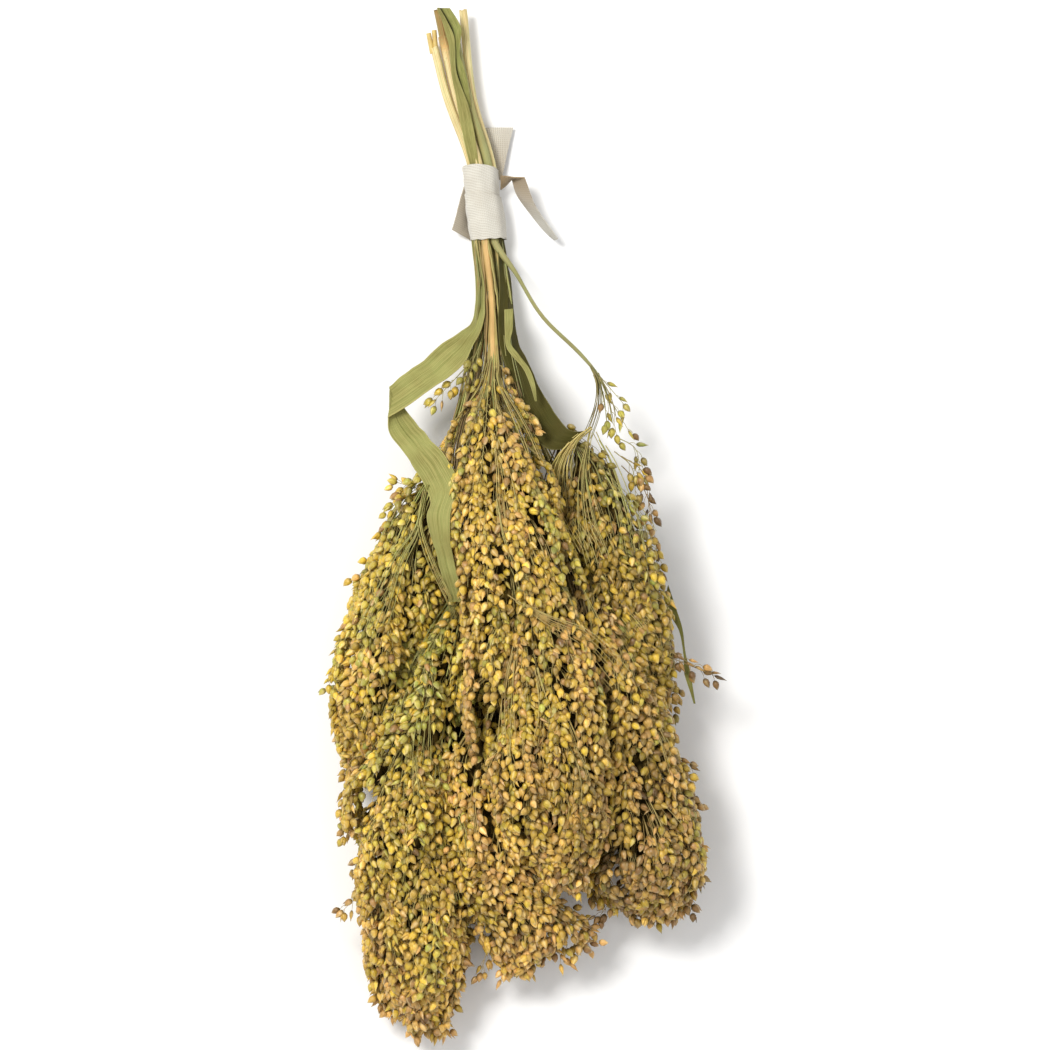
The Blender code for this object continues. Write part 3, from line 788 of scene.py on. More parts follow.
class SeedHead:
    """Dresses one panicle's head: its core, its branches and its spikelets."""

    PLUMP_SIZE = (4.5, 3.2)
    SLENDER_SIZE = (5.1, 2.5)
    HOODED = 0.22  # the share of husks with an open second husk
    SLENDER_ON_SPRAYS = 0.35
    CLEARANCE = 0.8  # how far over the lowest line a husk stays
    STEEPEST = 0.98
    ALL_INSIDE = 99.0  # how far inside its sparse side a head without one lies, in millimetres
    SLIVER_TONE = (0.6, 0.95)
    FAN = (-0.15, 1.15)  # where first branches leave the culm, in half turns from +X
    FOLLOWER_HUES = (0.05, 0.15, 0.3, 0.5, 0.75)
    CORE_SHARE = 0.7
    CORE_GRID = (40, 28)
    CORE_LUMPS = 0.09
    DROOP = np.array([0.0, -1.0, 0.0])
    UP = np.array([0.0, 0.0, 1.0])

    def __init__(
        self, panicle: Panicle, form: HeadForm | None, others: list[HeadForm], plan: Tassels
    ) -> None:
        """Prepares the head.

        Args:
            panicle: The panicle to dress.
            form: Its measured form, or none for one that has only sprays.
            others: The forms of the other heads, which its tassels keep out of.
            plan: How its tassels are laid out.
        """
        self.panicle, self.form, self.others, self.plan = panicle, form, others, plan
        self.draw = np.random.default_rng(panicle.seed)
        self.spikelets = SpikeletCrop()
        self.stalks = StalkCrop()

    def grow(self, canopy: Canopy) -> None:
        """Grows everything that the panicle carries.

        Args:
            canopy: The upper face of the bunch, on which its combs lie.
        """
        if self.form:
            self.grow_tassels()
            self.grow_first_branches()
            self.grow_followers()
        for spray in self.panicle.sprays:
            self.grow_spray(spray)
        for comb in self.panicle.combs:
            self.grow_comb(comb, canopy)
        for foot, end in self.panicle.slivers:
            path = np.array(foot) + np.linspace(0, 1, 5)[:, None] * (np.array(end) - np.array(foot))
            self.stalks.lay(path, *SLIVER, *self.SLIVER_TONE, sides=6)

    def hue_at(self, y: Array | float) -> Array | float:
        """The head's hue at a level."""
        down = np.clip((self.form.top - y) / (self.form.top - self.form.tip), 0, 1)
        return self.panicle.hues[0] + (self.panicle.hues[1] - self.panicle.hues[0]) * down

    def grow_tassels(self) -> None:
        """Lays rows of tassels down the head, each row staggered against the last."""
        form, plan, draw = self.form, self.plan, self.draw
        pitch = plan.row_pitch / self.panicle.density
        for y in np.arange(form.top + 4, form.tip + 4, -pitch):
            phase = draw.random()
            k = int(round(float(form.down(np.array(y)))))
            around = 2 * math.pi * math.sqrt((form.width[k] ** 2 + form.depth[k] ** 2) / 2)
            count = max(3, round(around / plan.arc_pitch))
            for index in range(count):
                turn = 2 * math.pi * (index + phase + draw.uniform(-plan.stray[0], plan.stray[0])) / count
                level = float(y + draw.uniform(-plan.stray[1], plan.stray[1]) * pitch)
                luck = draw.random()
                facing = plan.back_share + (1 - plan.back_share) * ease(0.5 + 0.9 * math.sin(turn))
                below = np.array([level - plan.look_down])
                outside = form.point(below, np.array([turn]), np.array([1.0])) + plan.look_out * spoke(turn)
                covered = any(other.share(outside)[0][0] < 1 for other in self.others)
                if luck < (plan.hidden_share if covered else facing):
                    self.grow_tassel(level, turn)

    def grow_tassel(self, level: float, turn: float) -> None:
        """Grows one tassel: a drooping branch whose strings of spikelets run down beside it."""
        form, plan, draw = self.form, self.plan, self.draw
        aside = math.cos(turn) ** 2
        loose = draw.random() < plan.loose_share[0] * (1 - aside) + plan.loose_share[1] * aside
        stand = draw.uniform(*(plan.loose_stand if loose else plan.stand))
        length = min(draw.uniform(*plan.length), level - form.tip + draw.uniform(*plan.past_tip))
        drift = draw.normal(0, plan.drift)
        s = np.linspace(0, 1, plan.steps)
        y = np.clip(level - length * (s - plan.rise), form.tip - 3, form.top)
        share = stand * (plan.root + (1 - plan.root) * ease(s / 0.5)) + draw.uniform(-0.06, 0.08) * s**2
        line = hold_up(form.point(y, turn + drift * (s - 0.3), share))
        if self.past_side(line[5]) > plan.past_side:
            return
        hue = float(self.hue_at(level)) + draw.normal(0, 0.11)
        shade = self.panicle.shade + draw.normal(0, 0.08)
        self.stalks.lay(line, *BRANCH, hue * 0.8, shade + 0.05)
        for k in range(plan.strings):
            start = plan.string_roots * (k + draw.uniform(0, 0.9)) / plan.strings
            self.grow_string(line, start, length, spoke(turn), (hue, shade), 1 if k % 2 else -1)
        if draw.random() < plan.bare_share:
            self.grow_bare_strands(line, spoke(turn), hue, shade)

    def grow_bare_strands(self, line: Array, outward: Array, hue: float, shade: float) -> None:
        """Lays a few bare strands over a tassel's upper part."""
        plan, draw = self.plan, self.draw
        side = unit(np.cross(line[4] - line[0], outward))
        t = np.linspace(0, 1, plan.string_steps)[:, None]
        for _ in range(plan.bare_strands):
            reach = draw.uniform(0.5, 0.85)
            path = read_line(line, np.arange(len(line)), t[:, 0] * reach * (len(line) - 1))
            path += side * (draw.normal(0, 0.8) + draw.normal(0, 2.4) * t) + outward * (2.2 - 0.6 * t)
            self.stalks.lay(hold_up(path), *STRAND, hue * 0.75, shade + draw.uniform(0.0, 0.25))

    def grow_string(
        self, line: Array, start: float, length: float, outward: Array, tone: Pair, hand: int
    ) -> None:
        """Grows one string of spikelets, which leaves its tassel's branch and runs down beside it.

        Args:
            line: The tassel's branch.
            start: Where on it the string starts, from 0 to 1.
            length: How long the branch is.
            outward: The direction away from the head's middle line.
            tone: The tassel's hue and shade.
            hand: The side that it takes, 1 or -1.
        """
        plan, draw = self.plan, self.draw
        run = min(draw.uniform(*plan.string_length), 1.1 * (1 - start) * length + 5)
        t = np.linspace(0, 1, plan.string_steps)
        places = start + t * run / max(length, 1.0)
        path = read_line(line, np.linspace(0, 1, len(line)), places)
        path += np.maximum(places - 1, 0)[:, None] * length * unit(line[-1] - line[-3] + 4 * self.DROOP)
        side = unit(np.cross(path[3] - path[0], outward)) * hand
        spread = draw.uniform(0.05, 1.0) * plan.string_spread
        path += side * spread * (t**0.8)[:, None] + outward * draw.uniform(-0.8, 1.6) * t[:, None]
        count = max(plan.fewest, round(run * (1 - plan.bare) / plan.spikelet_pitch))
        at = plan.bare + (1 - plan.bare) * (np.arange(count) + draw.uniform(0.4, 1.0, count)) / count
        beads = read_line(path, t, at)
        heading = unit(read_line(np.gradient(path, axis=0), t, at))
        sway = np.where(np.arange(count) % 2, 1.0, -1.0)[:, None]
        across = unit(np.cross(heading, outward))
        aims = unit(
            heading + across * sway * draw.uniform(0.2, 0.85, (count, 1))
            + outward * draw.uniform(-0.1, 0.5, (count, 1)) + draw.normal(0, 0.15, (count, 3))
        )
        feet = beads + (across * sway + outward * 0.4) * draw.uniform(0.3, 1.4, (count, 1))
        feet, aims, share, kept = self.settle(feet, aims)
        if not kept.any():
            return
        hue = tone[0] * 0.85
        self.stalks.lay(hold_up(path), *STRING, hue, tone[1])
        shown = kept & (draw.random(count) < plan.stalked)
        for bead, place in zip(beads[shown], feet[shown]):
            self.stalks.lay(np.stack([bead, place]), *STALK, hue, tone[1])
        # Husks deeper inside the head are painted darker, as shade.
        shades = tone[1] - plan.painted_inner_shade * np.clip(plan.painted_shade_from - share, 0, 0.5)
        self.hang(feet[kept], aims[kept], tone[0], shades[kept], self.panicle.slender)

    def settle(self, feet: Array, aims: Array) -> tuple[Array, Array, Array, Array]:
        """Keeps spikelets on the head's own form, out of its neighbours and off the surface below.

        Args:
            feet: The spikelets' feet, (n, 3).
            aims: Where they point, (n, 3).

        Returns:
            The feet and aims as settled, how far out each one is, and which of them stay.
        """
        plan, draw, count = self.plan, self.draw, len(feet)
        share, _centre = self.form.share(feet)
        kept = (share < HeadForm.OUT) & ((self.past_side(feet) < 0) | (draw.random(count) < plan.sparse_kept))
        for other in self.others:
            kept &= other.share(feet)[0] > plan.deepest
        room = self.form.reach(feet[:, 1], np.full(count, math.pi / 2)) / plan.full_reach
        kept &= draw.random(count) < np.clip(room, plan.thinnest, 1.0)
        kept &= (share > plan.inner_share) | (draw.random(count) < plan.inner_kept)
        hold_up(feet, LOWEST + 1.2)
        lowest = np.minimum((LOWEST + self.CLEARANCE - feet[:, 2]) / self.PLUMP_SIZE[0], 0.3)
        rise = np.clip(np.maximum(aims[:, 2], lowest), -self.STEEPEST, self.STEEPEST)
        level = unit(aims[:, :2] + np.array([0.0, -1e-3])) * np.sqrt(1 - rise**2)[:, None]
        return feet, np.column_stack([level, rise]), share, kept

    def past_side(self, points: Array) -> Array:
        """How far points lie past the side where the head turns sparse, in millimetres."""
        side = self.panicle.loose_side
        if not side:
            return np.full(points.shape[:-1], -self.ALL_INSIDE)
        return points[..., 0] - np.interp(points[..., 1], [y for y, _x in side], [x for _y, x in side])

    def hang(
        self, feet: Array, aims: Array, hue: float, shade: float | Array, slender: float
    ) -> None:
        """Hangs a mix of spikelets of every form.

        Args:
            feet: Their feet, (n, 3).
            aims: Where they point, (n, 3).
            hue: The hue that they vary about.
            shade: The shade that they vary about, for all or for each.
            slender: The share of slender, half-empty husks.
        """
        draw, count = self.draw, len(feet)
        hues = hue + draw.normal(0, 0.1, count)
        pick = draw.random(count)
        hues = np.where(pick < 0.05, 0.4 + draw.normal(0, 0.03, count), hues)  # bright yellow ones
        hues = np.where(pick > 0.97, 0.94, hues)  # brown ones
        hues = np.where((pick > 0.9) & (pick < 0.95), hues - 0.22, hues)  # greener ones
        shades = shade + draw.normal(0, 0.16, count)
        tones = np.clip(np.stack([hues, shades], 1), 0.0, 1.0)
        kind = draw.random(count)
        scale = draw.normal(1.0, 0.07, (count, 1))
        hooded = slender + self.HOODED
        for form, picked, (length, width) in (
            (HuskForm.SLENDER, kind < slender, self.SLENDER_SIZE),
            (HuskForm.HOODED, (kind >= slender) & (kind < hooded), self.PLUMP_SIZE),
            (HuskForm.PLUMP, kind >= hooded, self.PLUMP_SIZE),
        ):
            rolls = draw.uniform(0, 2 * math.pi, (count, 1))
            sizes = np.concatenate([length * scale, width * scale, rolls], axis=1)
            self.spikelets.hang(form, feet[picked], aims[picked], sizes[picked], tones[picked])

    def grow_first_branches(self) -> None:
        """Grows the long first branches, which leave the culm above the head and fan out over its top."""
        form, draw, panicle = self.form, self.draw, self.panicle
        for _ in range(panicle.first_branches):
            turn = draw.uniform(*self.FAN) * math.pi
            leave = form.top + draw.uniform(2, 44)
            arrive = form.top - draw.uniform(14, 52)
            beside = draw.uniform(0.9, 2.4)
            if leave > form.top + 14 and abs(turn - math.pi / 2) < panicle.open_front:
                continue
            aside = spoke(turn) * np.linspace(0.6, beside + 1.0, 4)[:, None]
            start = panicle.line(leave, form.top, 4) + aside
            y = np.linspace(form.top - 8, arrive, 3)
            rest = form.point(y, np.full(3, turn), np.array([0.8, 0.98, 1.04]))
            path = curve_through(np.concatenate([start, rest]), 16)
            if self.past_side(path[-1]) > -5:
                continue
            hue = float(np.clip(self.hue_at(form.top) + draw.normal(-0.1, 0.2), 0, 1))
            self.stalks.lay(path, *FIRST_BRANCH, hue, panicle.shade + draw.normal(0.02, 0.2), sides=4)

    def grow_followers(self) -> None:
        """Grows thin stems that run down beside the culm through the neck."""
        draw, panicle = self.draw, self.panicle
        steps = 14
        for _ in range(panicle.followers):
            turn = draw.uniform(0.0, 1.0) * math.pi
            if abs(turn - math.pi / 2) < panicle.open_front:
                continue
            low = panicle.head[0][1] + draw.uniform(-6, 20)
            line = panicle.line(NECK_TOP, low, steps)
            beside = np.interp(line[:, 1], [low, low + 18, NECK_TOP - 12, NECK_TOP], [3.4, 2.6, 2.0, 0.8])
            path = line + spoke(turn) * beside[:, None] + draw.normal(0, 0.12, (steps, 3))
            hue = float(draw.choice(self.FOLLOWER_HUES))
            self.stalks.lay(path, draw.uniform(0.4, 0.75), 0.3, hue, draw.uniform(0.1, 0.7), sides=5)

    def grow_spray(self, spray: Spray) -> None:
        """Grows one loose spray, whose spikelets stand on fine side stalks."""
        draw = self.draw
        root, tip, bow = (np.array(place) for place in (spray.root, spray.tip, spray.bow))
        path = curve_through(np.stack([root, (root + tip) / 2 + bow, tip]), 10)
        slopes = np.gradient(path, axis=0)
        shade, stalk_hue = self.panicle.shade + draw.normal(0, 0.05), spray.hue * 0.85
        self.stalks.lay(path, *SPRAY, stalk_hue, shade)
        t = np.linspace(0, 1, len(path))
        feet, aims = [path[-1]], [unit(path[-1] - path[-3])]
        for k, place in enumerate(np.linspace(0.3, 0.97, max(spray.spikelets - 1, 1))):
            foot, along = read_line(path, t, place), unit(read_line(slopes, t, place))
            side = unit(np.cross(along, self.UP)) * (1 if k % 2 else -1)
            lean = unit(along + side * draw.uniform(0.4, 1.0) + self.UP * draw.uniform(-0.5, 0.5))
            reach = spray.side_length * draw.uniform(0.35, 1.1)
            end = foot + reach * unit(lean + 0.35 * self.DROOP)
            side_stalk = curve_through(np.stack([foot, foot + 0.55 * reach * lean, end]), 4)
            self.stalks.lay(side_stalk, *SIDE_STALK, stalk_hue, shade)
            feet.append(end)
            aims.append(unit(lean + 0.5 * self.DROOP + draw.normal(0, 0.15, 3)))
        self.hang(np.array(feet), np.array(aims), spray.hue, shade, self.SLENDER_ON_SPRAYS)

    def grow_comb(self, comb: Comb, canopy: Canopy) -> None:
        """Grows one sheaf of fine branches that run side by side."""
        draw = self.draw
        line = canopy.drape(curve_through(np.array(comb.line), 14), comb.lift)
        side = unit(np.cross(unit(np.gradient(line, axis=0)), self.UP))
        t = np.linspace(0, 1, len(line))[:, None]
        apart = comb.spread[0] + (comb.spread[1] - comb.spread[0]) * ease(t)
        for k in range(comb.count):
            place = (k + draw.uniform(0.1, 0.9)) / comb.count * 2 - 1
            wave = draw.normal(0, 0.5) * np.sin(math.pi * t)
            path = line + side * (place * apart + wave) + self.UP * draw.uniform(-1.2, 1.2)
            radius = comb.radius * draw.uniform(0.75, 1.25)
            path = path[int(draw.integers(0, 3)):]
            hue, shade = comb.hue + draw.normal(0, 0.07), comb.shade + draw.normal(0, 0.08)
            self.stalks.lay(path, radius, 0.5 * radius, hue, shade)

    def core(self) -> MeshStock:
        """The inside of the head, painted dark as shade, which shows between the tassels."""
        form, draw = self.form, self.draw
        rows, columns = self.CORE_GRID
        y = np.linspace(form.top - 2, form.tip + 3, rows)
        turn = -2 * math.pi * np.arange(columns) / columns
        ends = np.minimum(1.0, 4 * np.minimum(np.linspace(0, 1, rows), np.linspace(1, 0, rows)) + 0.15)
        level, round_turn = np.meshgrid(y, turn, indexing="ij")
        lumps = 1 + self.CORE_LUMPS * draw.standard_normal((rows, columns))
        rings = form.point(level, round_turn, self.CORE_SHARE * ends[:, None] * lumps)
        rings[..., 0] -= np.maximum(self.past_side(rings) + 3.0, 0)
        points, faces = skin(hold_up(rings))
        return MeshStock().add(points, faces, np.full((len(points), 4), 0.5))


@dataclass
class Culm:
    """One cut stem: a ribbed straw, hollow at its cut end."""

    panicle: Panicle
    sides: int = 16
    rings: int = 64
    rib: float = 0.045
    uneven: float = 0.02
    swell: Pair = (0.03, 9.0)  # how much it swells and narrows, and how slowly
    taper: float = 22.0  # the length over which it thins, from the tape down
    end_taper: float = 0.6  # how much thinner it gets inside its head
    stray_run_in: float = 0.9  # how far a culm with no full head runs into it
    ragged: Pair = (0.7, 6.0)  # how uneven its cut end is, and how far down
    hole: float = 0.5
    hole_depth: float = 3.0
    # Painted shade inside the hollow cut end: the shade tone at its deepest ring and at its rim.
    hole_shades: Pair = (0.0, 0.15)

    def build(self) -> MeshStock:
        """Makes the culm from its cut end to inside its head."""
        panicle = self.panicle
        stations = panicle.stations()
        top, tip = panicle.head[0][1], panicle.head[-1][1]
        run_in = (CULM_RUN_IN if panicle.full() else self.stray_run_in) * (top - tip)
        first, last = stations[0][1], top - run_in
        path = panicle.line(first, last, self.rings)
        thin = ease((TIE_FOOT[1] + 2 - path[:, 1]) / self.taper)
        end_radius = panicle.peduncle if panicle.gathered else stations[-1][3]
        radius = CULM_RADIUS + (end_radius - CULM_RADIUS) * thin
        radius *= 1 - self.end_taper * np.clip((top - path[:, 1]) / max(run_in, 1e-6), 0, 1)
        draw = np.random.default_rng(panicle.seed + 500)
        ribs = 1 + self.rib * np.where(np.arange(self.sides) % 2, 1, -1)
        ribs = ribs + draw.normal(0, self.uneven, self.sides)
        slow = 1 + self.swell[0] * np.sin(path[:, 1] / self.swell[1] + panicle.seed)
        rings = round_rings(path[None], (radius * slow)[None, :, None] * ribs, self.sides)[0]
        fade = np.clip(1 - (first - path[:, 1]) / self.ragged[1], 0, 1)[:, None]
        rings[..., 1] -= draw.uniform(0, self.ragged[0], self.sides) * fade
        inner = path[0] + (rings[0] - path[0]) * np.array([self.hole, 1.0, self.hole])
        deep = inner - np.array([0.0, self.hole_depth, 0.0])
        rings = np.concatenate([deep[None], inner[None], rings])
        points, faces = skin(rings)
        tones = np.empty((len(points), 4))
        place = np.concatenate([[0.0, 0.0], np.linspace(0, 1, len(path))])
        stops = sorted(panicle.culm_hues) or [(first, panicle.culm_hue)]
        hues = np.interp(path[:, 1], *zip(*stops))
        tones[:-2, 0] = np.repeat(np.concatenate([hues[:1], hues[:1], hues]), self.sides)
        shades = np.concatenate([self.hole_shades, np.full(len(path), panicle.culm_shade)])
        tones[:-2, 1] = np.repeat(shades, self.sides)
        tones[:-2, 2] = np.repeat(place, self.sides)
        tones[:-2, 3] = np.tile(np.arange(self.sides) / self.sides, len(place))
        # The two caps' middles take the darkest shade tone, which the finish paints as shade.
        tones[-2:] = (panicle.culm_hue, 0.0, 0.0, 0.0)
        return MeshStock().add(points, faces, tones)


@dataclass
class Blade:
    """One dried leaf blade, drawn through pairs of edge points as its solid is."""

    name: str
    pairs: list[EdgePair]
    crown: float
    seed: int
    hue: float = 0.3
    shade: float = 0.5
    folds: tuple[int, ...] = ()  # stations at which it is folded sharply
    columns: int = 25
    step: float = 1.5
    thickness: float = 0.36
    ribs: int = 11
    rib_height: float = 0.07
    waves: float = 0.5
    wave_run: float = 13.0
    midrib: tuple[float, float, float] = (0.35, 0.48, 0.05)  # its depth, place and width
    ragged: float = 0.35
    ragged_run: float = 5.0
    flat_below: float = 8.0  # a blade narrower than this is flatter
    span: float = 1.0  # how much of a broad blade's veins it shows
    root_shade: float = 0.0  # how much lighter its root is than the rest
    painted_inner_shade: float = 0.0  # how much lighter its first edge is than the rest; below zero, painted shade under an overlapping layer

    def surface(self) -> tuple[Array, Array]:
        """Draws the blade's middle surface.

        Returns:
            The grid of points, (rows, columns, 3), and each row's place along the blade from 0 to 1.
        """
        left, right = edges_through(
            self.pairs, self.folds, lambda left, right: int(run_along((left + right) / 2)[-1] / self.step)
        )
        middle = (left + right) / 2
        travelled = run_along(middle)
        v = np.linspace(0, 1, self.columns)
        draw = np.random.default_rng(self.seed)
        knots = np.linspace(0, travelled[-1], max(4, int(travelled[-1] / self.ragged_run)))
        for edge, opposite in ((left, right), (right, left)):
            stray = np.interp(travelled, knots, draw.normal(0, self.ragged, len(knots)))
            edge += unit(edge - opposite) * stray[:, None]
        grid = left[:, None] + (right - left)[:, None] * v[None, :, None]
        normal = unit(np.cross(right - left, np.gradient(middle, axis=0)))
        width = np.linalg.norm(right - left, axis=1)[:, None]
        fullness = np.minimum(1.0, width / self.flat_below)
        arch = self.crown * np.sin(math.pi * v)[None] * fullness
        corrugated = self.rib_height * np.cos(2 * math.pi * self.ribs * v)[None] * fullness
        depth, place, width = self.midrib
        midrib = depth * np.exp(-(((v - place) / width) ** 2))[None] * fullness
        phase = travelled[:, None] / self.wave_run
        wave = self.waves * (np.sin(phase + 2.2 * v[None]) * (v[None] - 0.5) * 2) * fullness
        grid = grid + normal[:, None] * (arch + corrugated - midrib + wave)[..., None]
        return grid, travelled / travelled[-1]

    def build(self) -> MeshStock:
        """Makes the blade, with its thickness."""
        grid, place = self.surface()
        tones = np.empty((*grid.shape[:2], 4))
        tones[..., 0] = self.hue
        v = np.linspace(0, 1, self.columns)[None]
        rooted = 1 - ease((place[:, None] - 0.16) / 0.14)
        tones[..., 1] = self.shade + self.root_shade * rooted + self.painted_inner_shade * (1 - ease(v / 0.45))
        tones[..., 2] = place[:, None]
        tones[..., 3] = v * self.span
        return MeshStock().add_sheet(hold_up(grid), self.thickness, tones)


@dataclass
class TapeTurn:
    """One turn of the tape round the bundle. It starts and ends at the back, where its ends overlap."""

    BACK, SWEEP = -100.0, 384.0  # where it starts, from +X, and how far it runs, in degrees
    RUN = 8.0  # how much tape one radian takes, in millimetres

    top: Point
    foot: Point
    radii: Pair
    bulge: float
    arch: float
    tilt: float  # how much lower its top edge is on the right
    start: float  # how far along the tape it begins, in millimetres
    overlap: float = 0.55  # how far its end lies over its start

    def surface(self, rows: int, columns: int) -> tuple[Array, Array, Array]:
        """Draws the turn.

        Args:
            rows: Points round the bundle.
            columns: Points across the tape.

        Returns:
            The grid, and how far each point is along and across the tape.
        """
        angle = math.radians(self.BACK) + np.linspace(0, math.radians(self.SWEEP), rows)[:, None]
        v = np.linspace(0, 1, columns)[None]
        top, foot = np.array(self.top), np.array(self.foot)
        centre = top + (foot - top) * v[..., None]
        radius = self.radii[0] + (self.radii[1] - self.radii[0]) * ease(v) + self.bulge * np.sin(math.pi * v)
        radius = radius + self.overlap * np.linspace(0, 1, rows)[:, None]
        lumps = 0.16 * np.cos(7 * angle + 0.4) + 0.1 * np.sin(3 * angle + 5 * v)
        crease = 0.2 * np.sin(13 * v + 2.6 * np.cos(angle)) * np.sin(math.pi * v) * ease(0.5 - np.cos(angle))
        lip = 0.22 * np.exp(-v / 0.05)
        outward = np.stack([np.cos(angle), np.zeros_like(angle), np.sin(angle)], -1)
        grid = centre + (radius + lumps + crease + lip)[..., None] * outward
        grid[..., 1] += (self.arch * np.maximum(np.sin(angle), -0.3) - self.tilt * np.cos(angle)) * (1 - v)
        grid[..., 1] += (0.3 * np.sin(2 * angle) + 0.18 * np.sin(9 * angle)) * v
        along = self.start + (angle - angle[0]) * self.RUN + 0 * v
        return grid, along, v * Tape.WIDTH + 0 * angle


@dataclass
class TapeEnd:
    """A loose stretch of the tape, through pairs of edge points."""

    pairs: list[EdgePair]
    start: float
    folds: tuple[int, ...] = ()
    bulge: float = 0.0
    painted_shades: Pair = (0.0, 0.0)  # how darkly it is painted as shade, from its start to its end

    def surface(self, rows: int, columns: int) -> tuple[Array, Array, Array]:
        """Draws the stretch. The arguments and results are as for a turn."""
        stretches = len(self.pairs) - 1
        left, right = edges_through(
            self.pairs, self.folds, lambda left, _right: int(rows * (len(left) - 1) / stretches)
        )
        v = np.linspace(0, 1, columns)[None]
        middle = (left + right) / 2
        travelled = run_along(middle)[:, None]
        normal = unit(np.cross(right - left, np.gradient(middle, axis=0)))
        curl = self.bulge * np.sin(math.pi * v) + 0.18 * np.sin(travelled / 3.1 + 4 * v)
        grid = left[:, None] + (right - left)[:, None] * v[..., None] + normal[:, None] * curl[..., None]
        return grid, self.start + travelled + 0 * v, v * Tape.WIDTH + 0 * travelled


class Tape:
    """The cotton tape: two turns that overlap, and three stretches that stand out."""

    WIDTH = 18.0
    LENGTH = 190.0
    THICKNESS = 0.5
    LOWEST = 0.4
    TONE_RUN = 100.0  # the millimetres along the tape that one unit of its tone stands for
    MOST_SHADED = 0.9
    UPPER_TURN = TapeTurn((-19.4, 149.8, 9.2), (-17.8, 130.8, 9.2), (7.0, 6.6), 0.0, 2.2, 0.5, 0.0)
    LOWER_TURN = TapeTurn((-18.3, 138.6, 9.2), (-15.7, 120.4, 9.2), (7.1, 7.1), 0.6, 1.2, 0.6, 52.0)
    UPPER_END = TapeEnd(
        [((-20, 145, 1.9), (-10.4, 146, 4.4)), ((-20.5, 156, 1.6), (-8, 157, 3.0)),
         ((-21.8, 168, 1.3), (-5.4, 168.2, 2.4))],
        110.0, bulge=0.7, painted_shades=(0.3, 0.06),
    )
    LOWER_END = TapeEnd(
        [((-26.2, 143, 8.6), (-22.4, 137, 1.6)), ((-29, 133, 7.4), (-23.8, 130, 1.5)),
         ((-31.5, 124.5, 6.6), (-24, 120.5, 1.5))],
        131.0, bulge=-0.5, painted_shades=(0.35, 0.3),
    )
    SIDE_END = TapeEnd(
        [((-10.8, 147.2, 13.0), (-10.8, 141.4, 7.6)), ((-8.0, 147.0, 13.6), (-8.6, 143.0, 7.6)),
         ((-5.3, 146.6, 13.8), (-6.0, 145.8, 8.0)),
         ((-0.6, 146.4, 13.8), (-5.8, 145.6, 8.0)), ((2.2, 138.0, 13.2), (-3.4, 138.6, 7.4)),
         ((5.4, 132.2, 12.4), (1.8, 131.2, 7.0)), ((10.8, 124.2, 10.4), (8.8, 123.2, 6.6)),
         ((13.6, 120.6, 9.2), (11.9, 120.3, 6.4))],
        151.0, folds=(2, 3), bulge=0.25, painted_shades=(1.8, -0.5),
    )

    def build(self) -> MeshStock:
        """Makes every stretch of the tape."""
        stock = MeshStock()
        parts = (
            (self.UPPER_TURN, 110, 20), (self.LOWER_TURN, 110, 20), (self.UPPER_END, 30, 16),
            (self.LOWER_END, 30, 16), (self.SIDE_END, 54, 12),
        )
        for part, rows, columns in parts:
            grid, along, across = part.surface(rows, columns)
            tones = np.zeros((*grid.shape[:2], 4))
            tones[..., 0] = along / self.TONE_RUN
            tones[..., 1] = across / self.WIDTH
            # The loose ends are painted darker, as shade, along their length.
            if isinstance(part, TapeEnd):
                stain = np.clip(np.linspace(*part.painted_shades, len(grid)), 0, self.MOST_SHADED)
                tones[..., 2] = stain[:, None]
            tones[..., 3] = 1.0
            stock.add_sheet(hold_up(grid, self.LOWEST), self.THICKNESS, tones)
        return stock


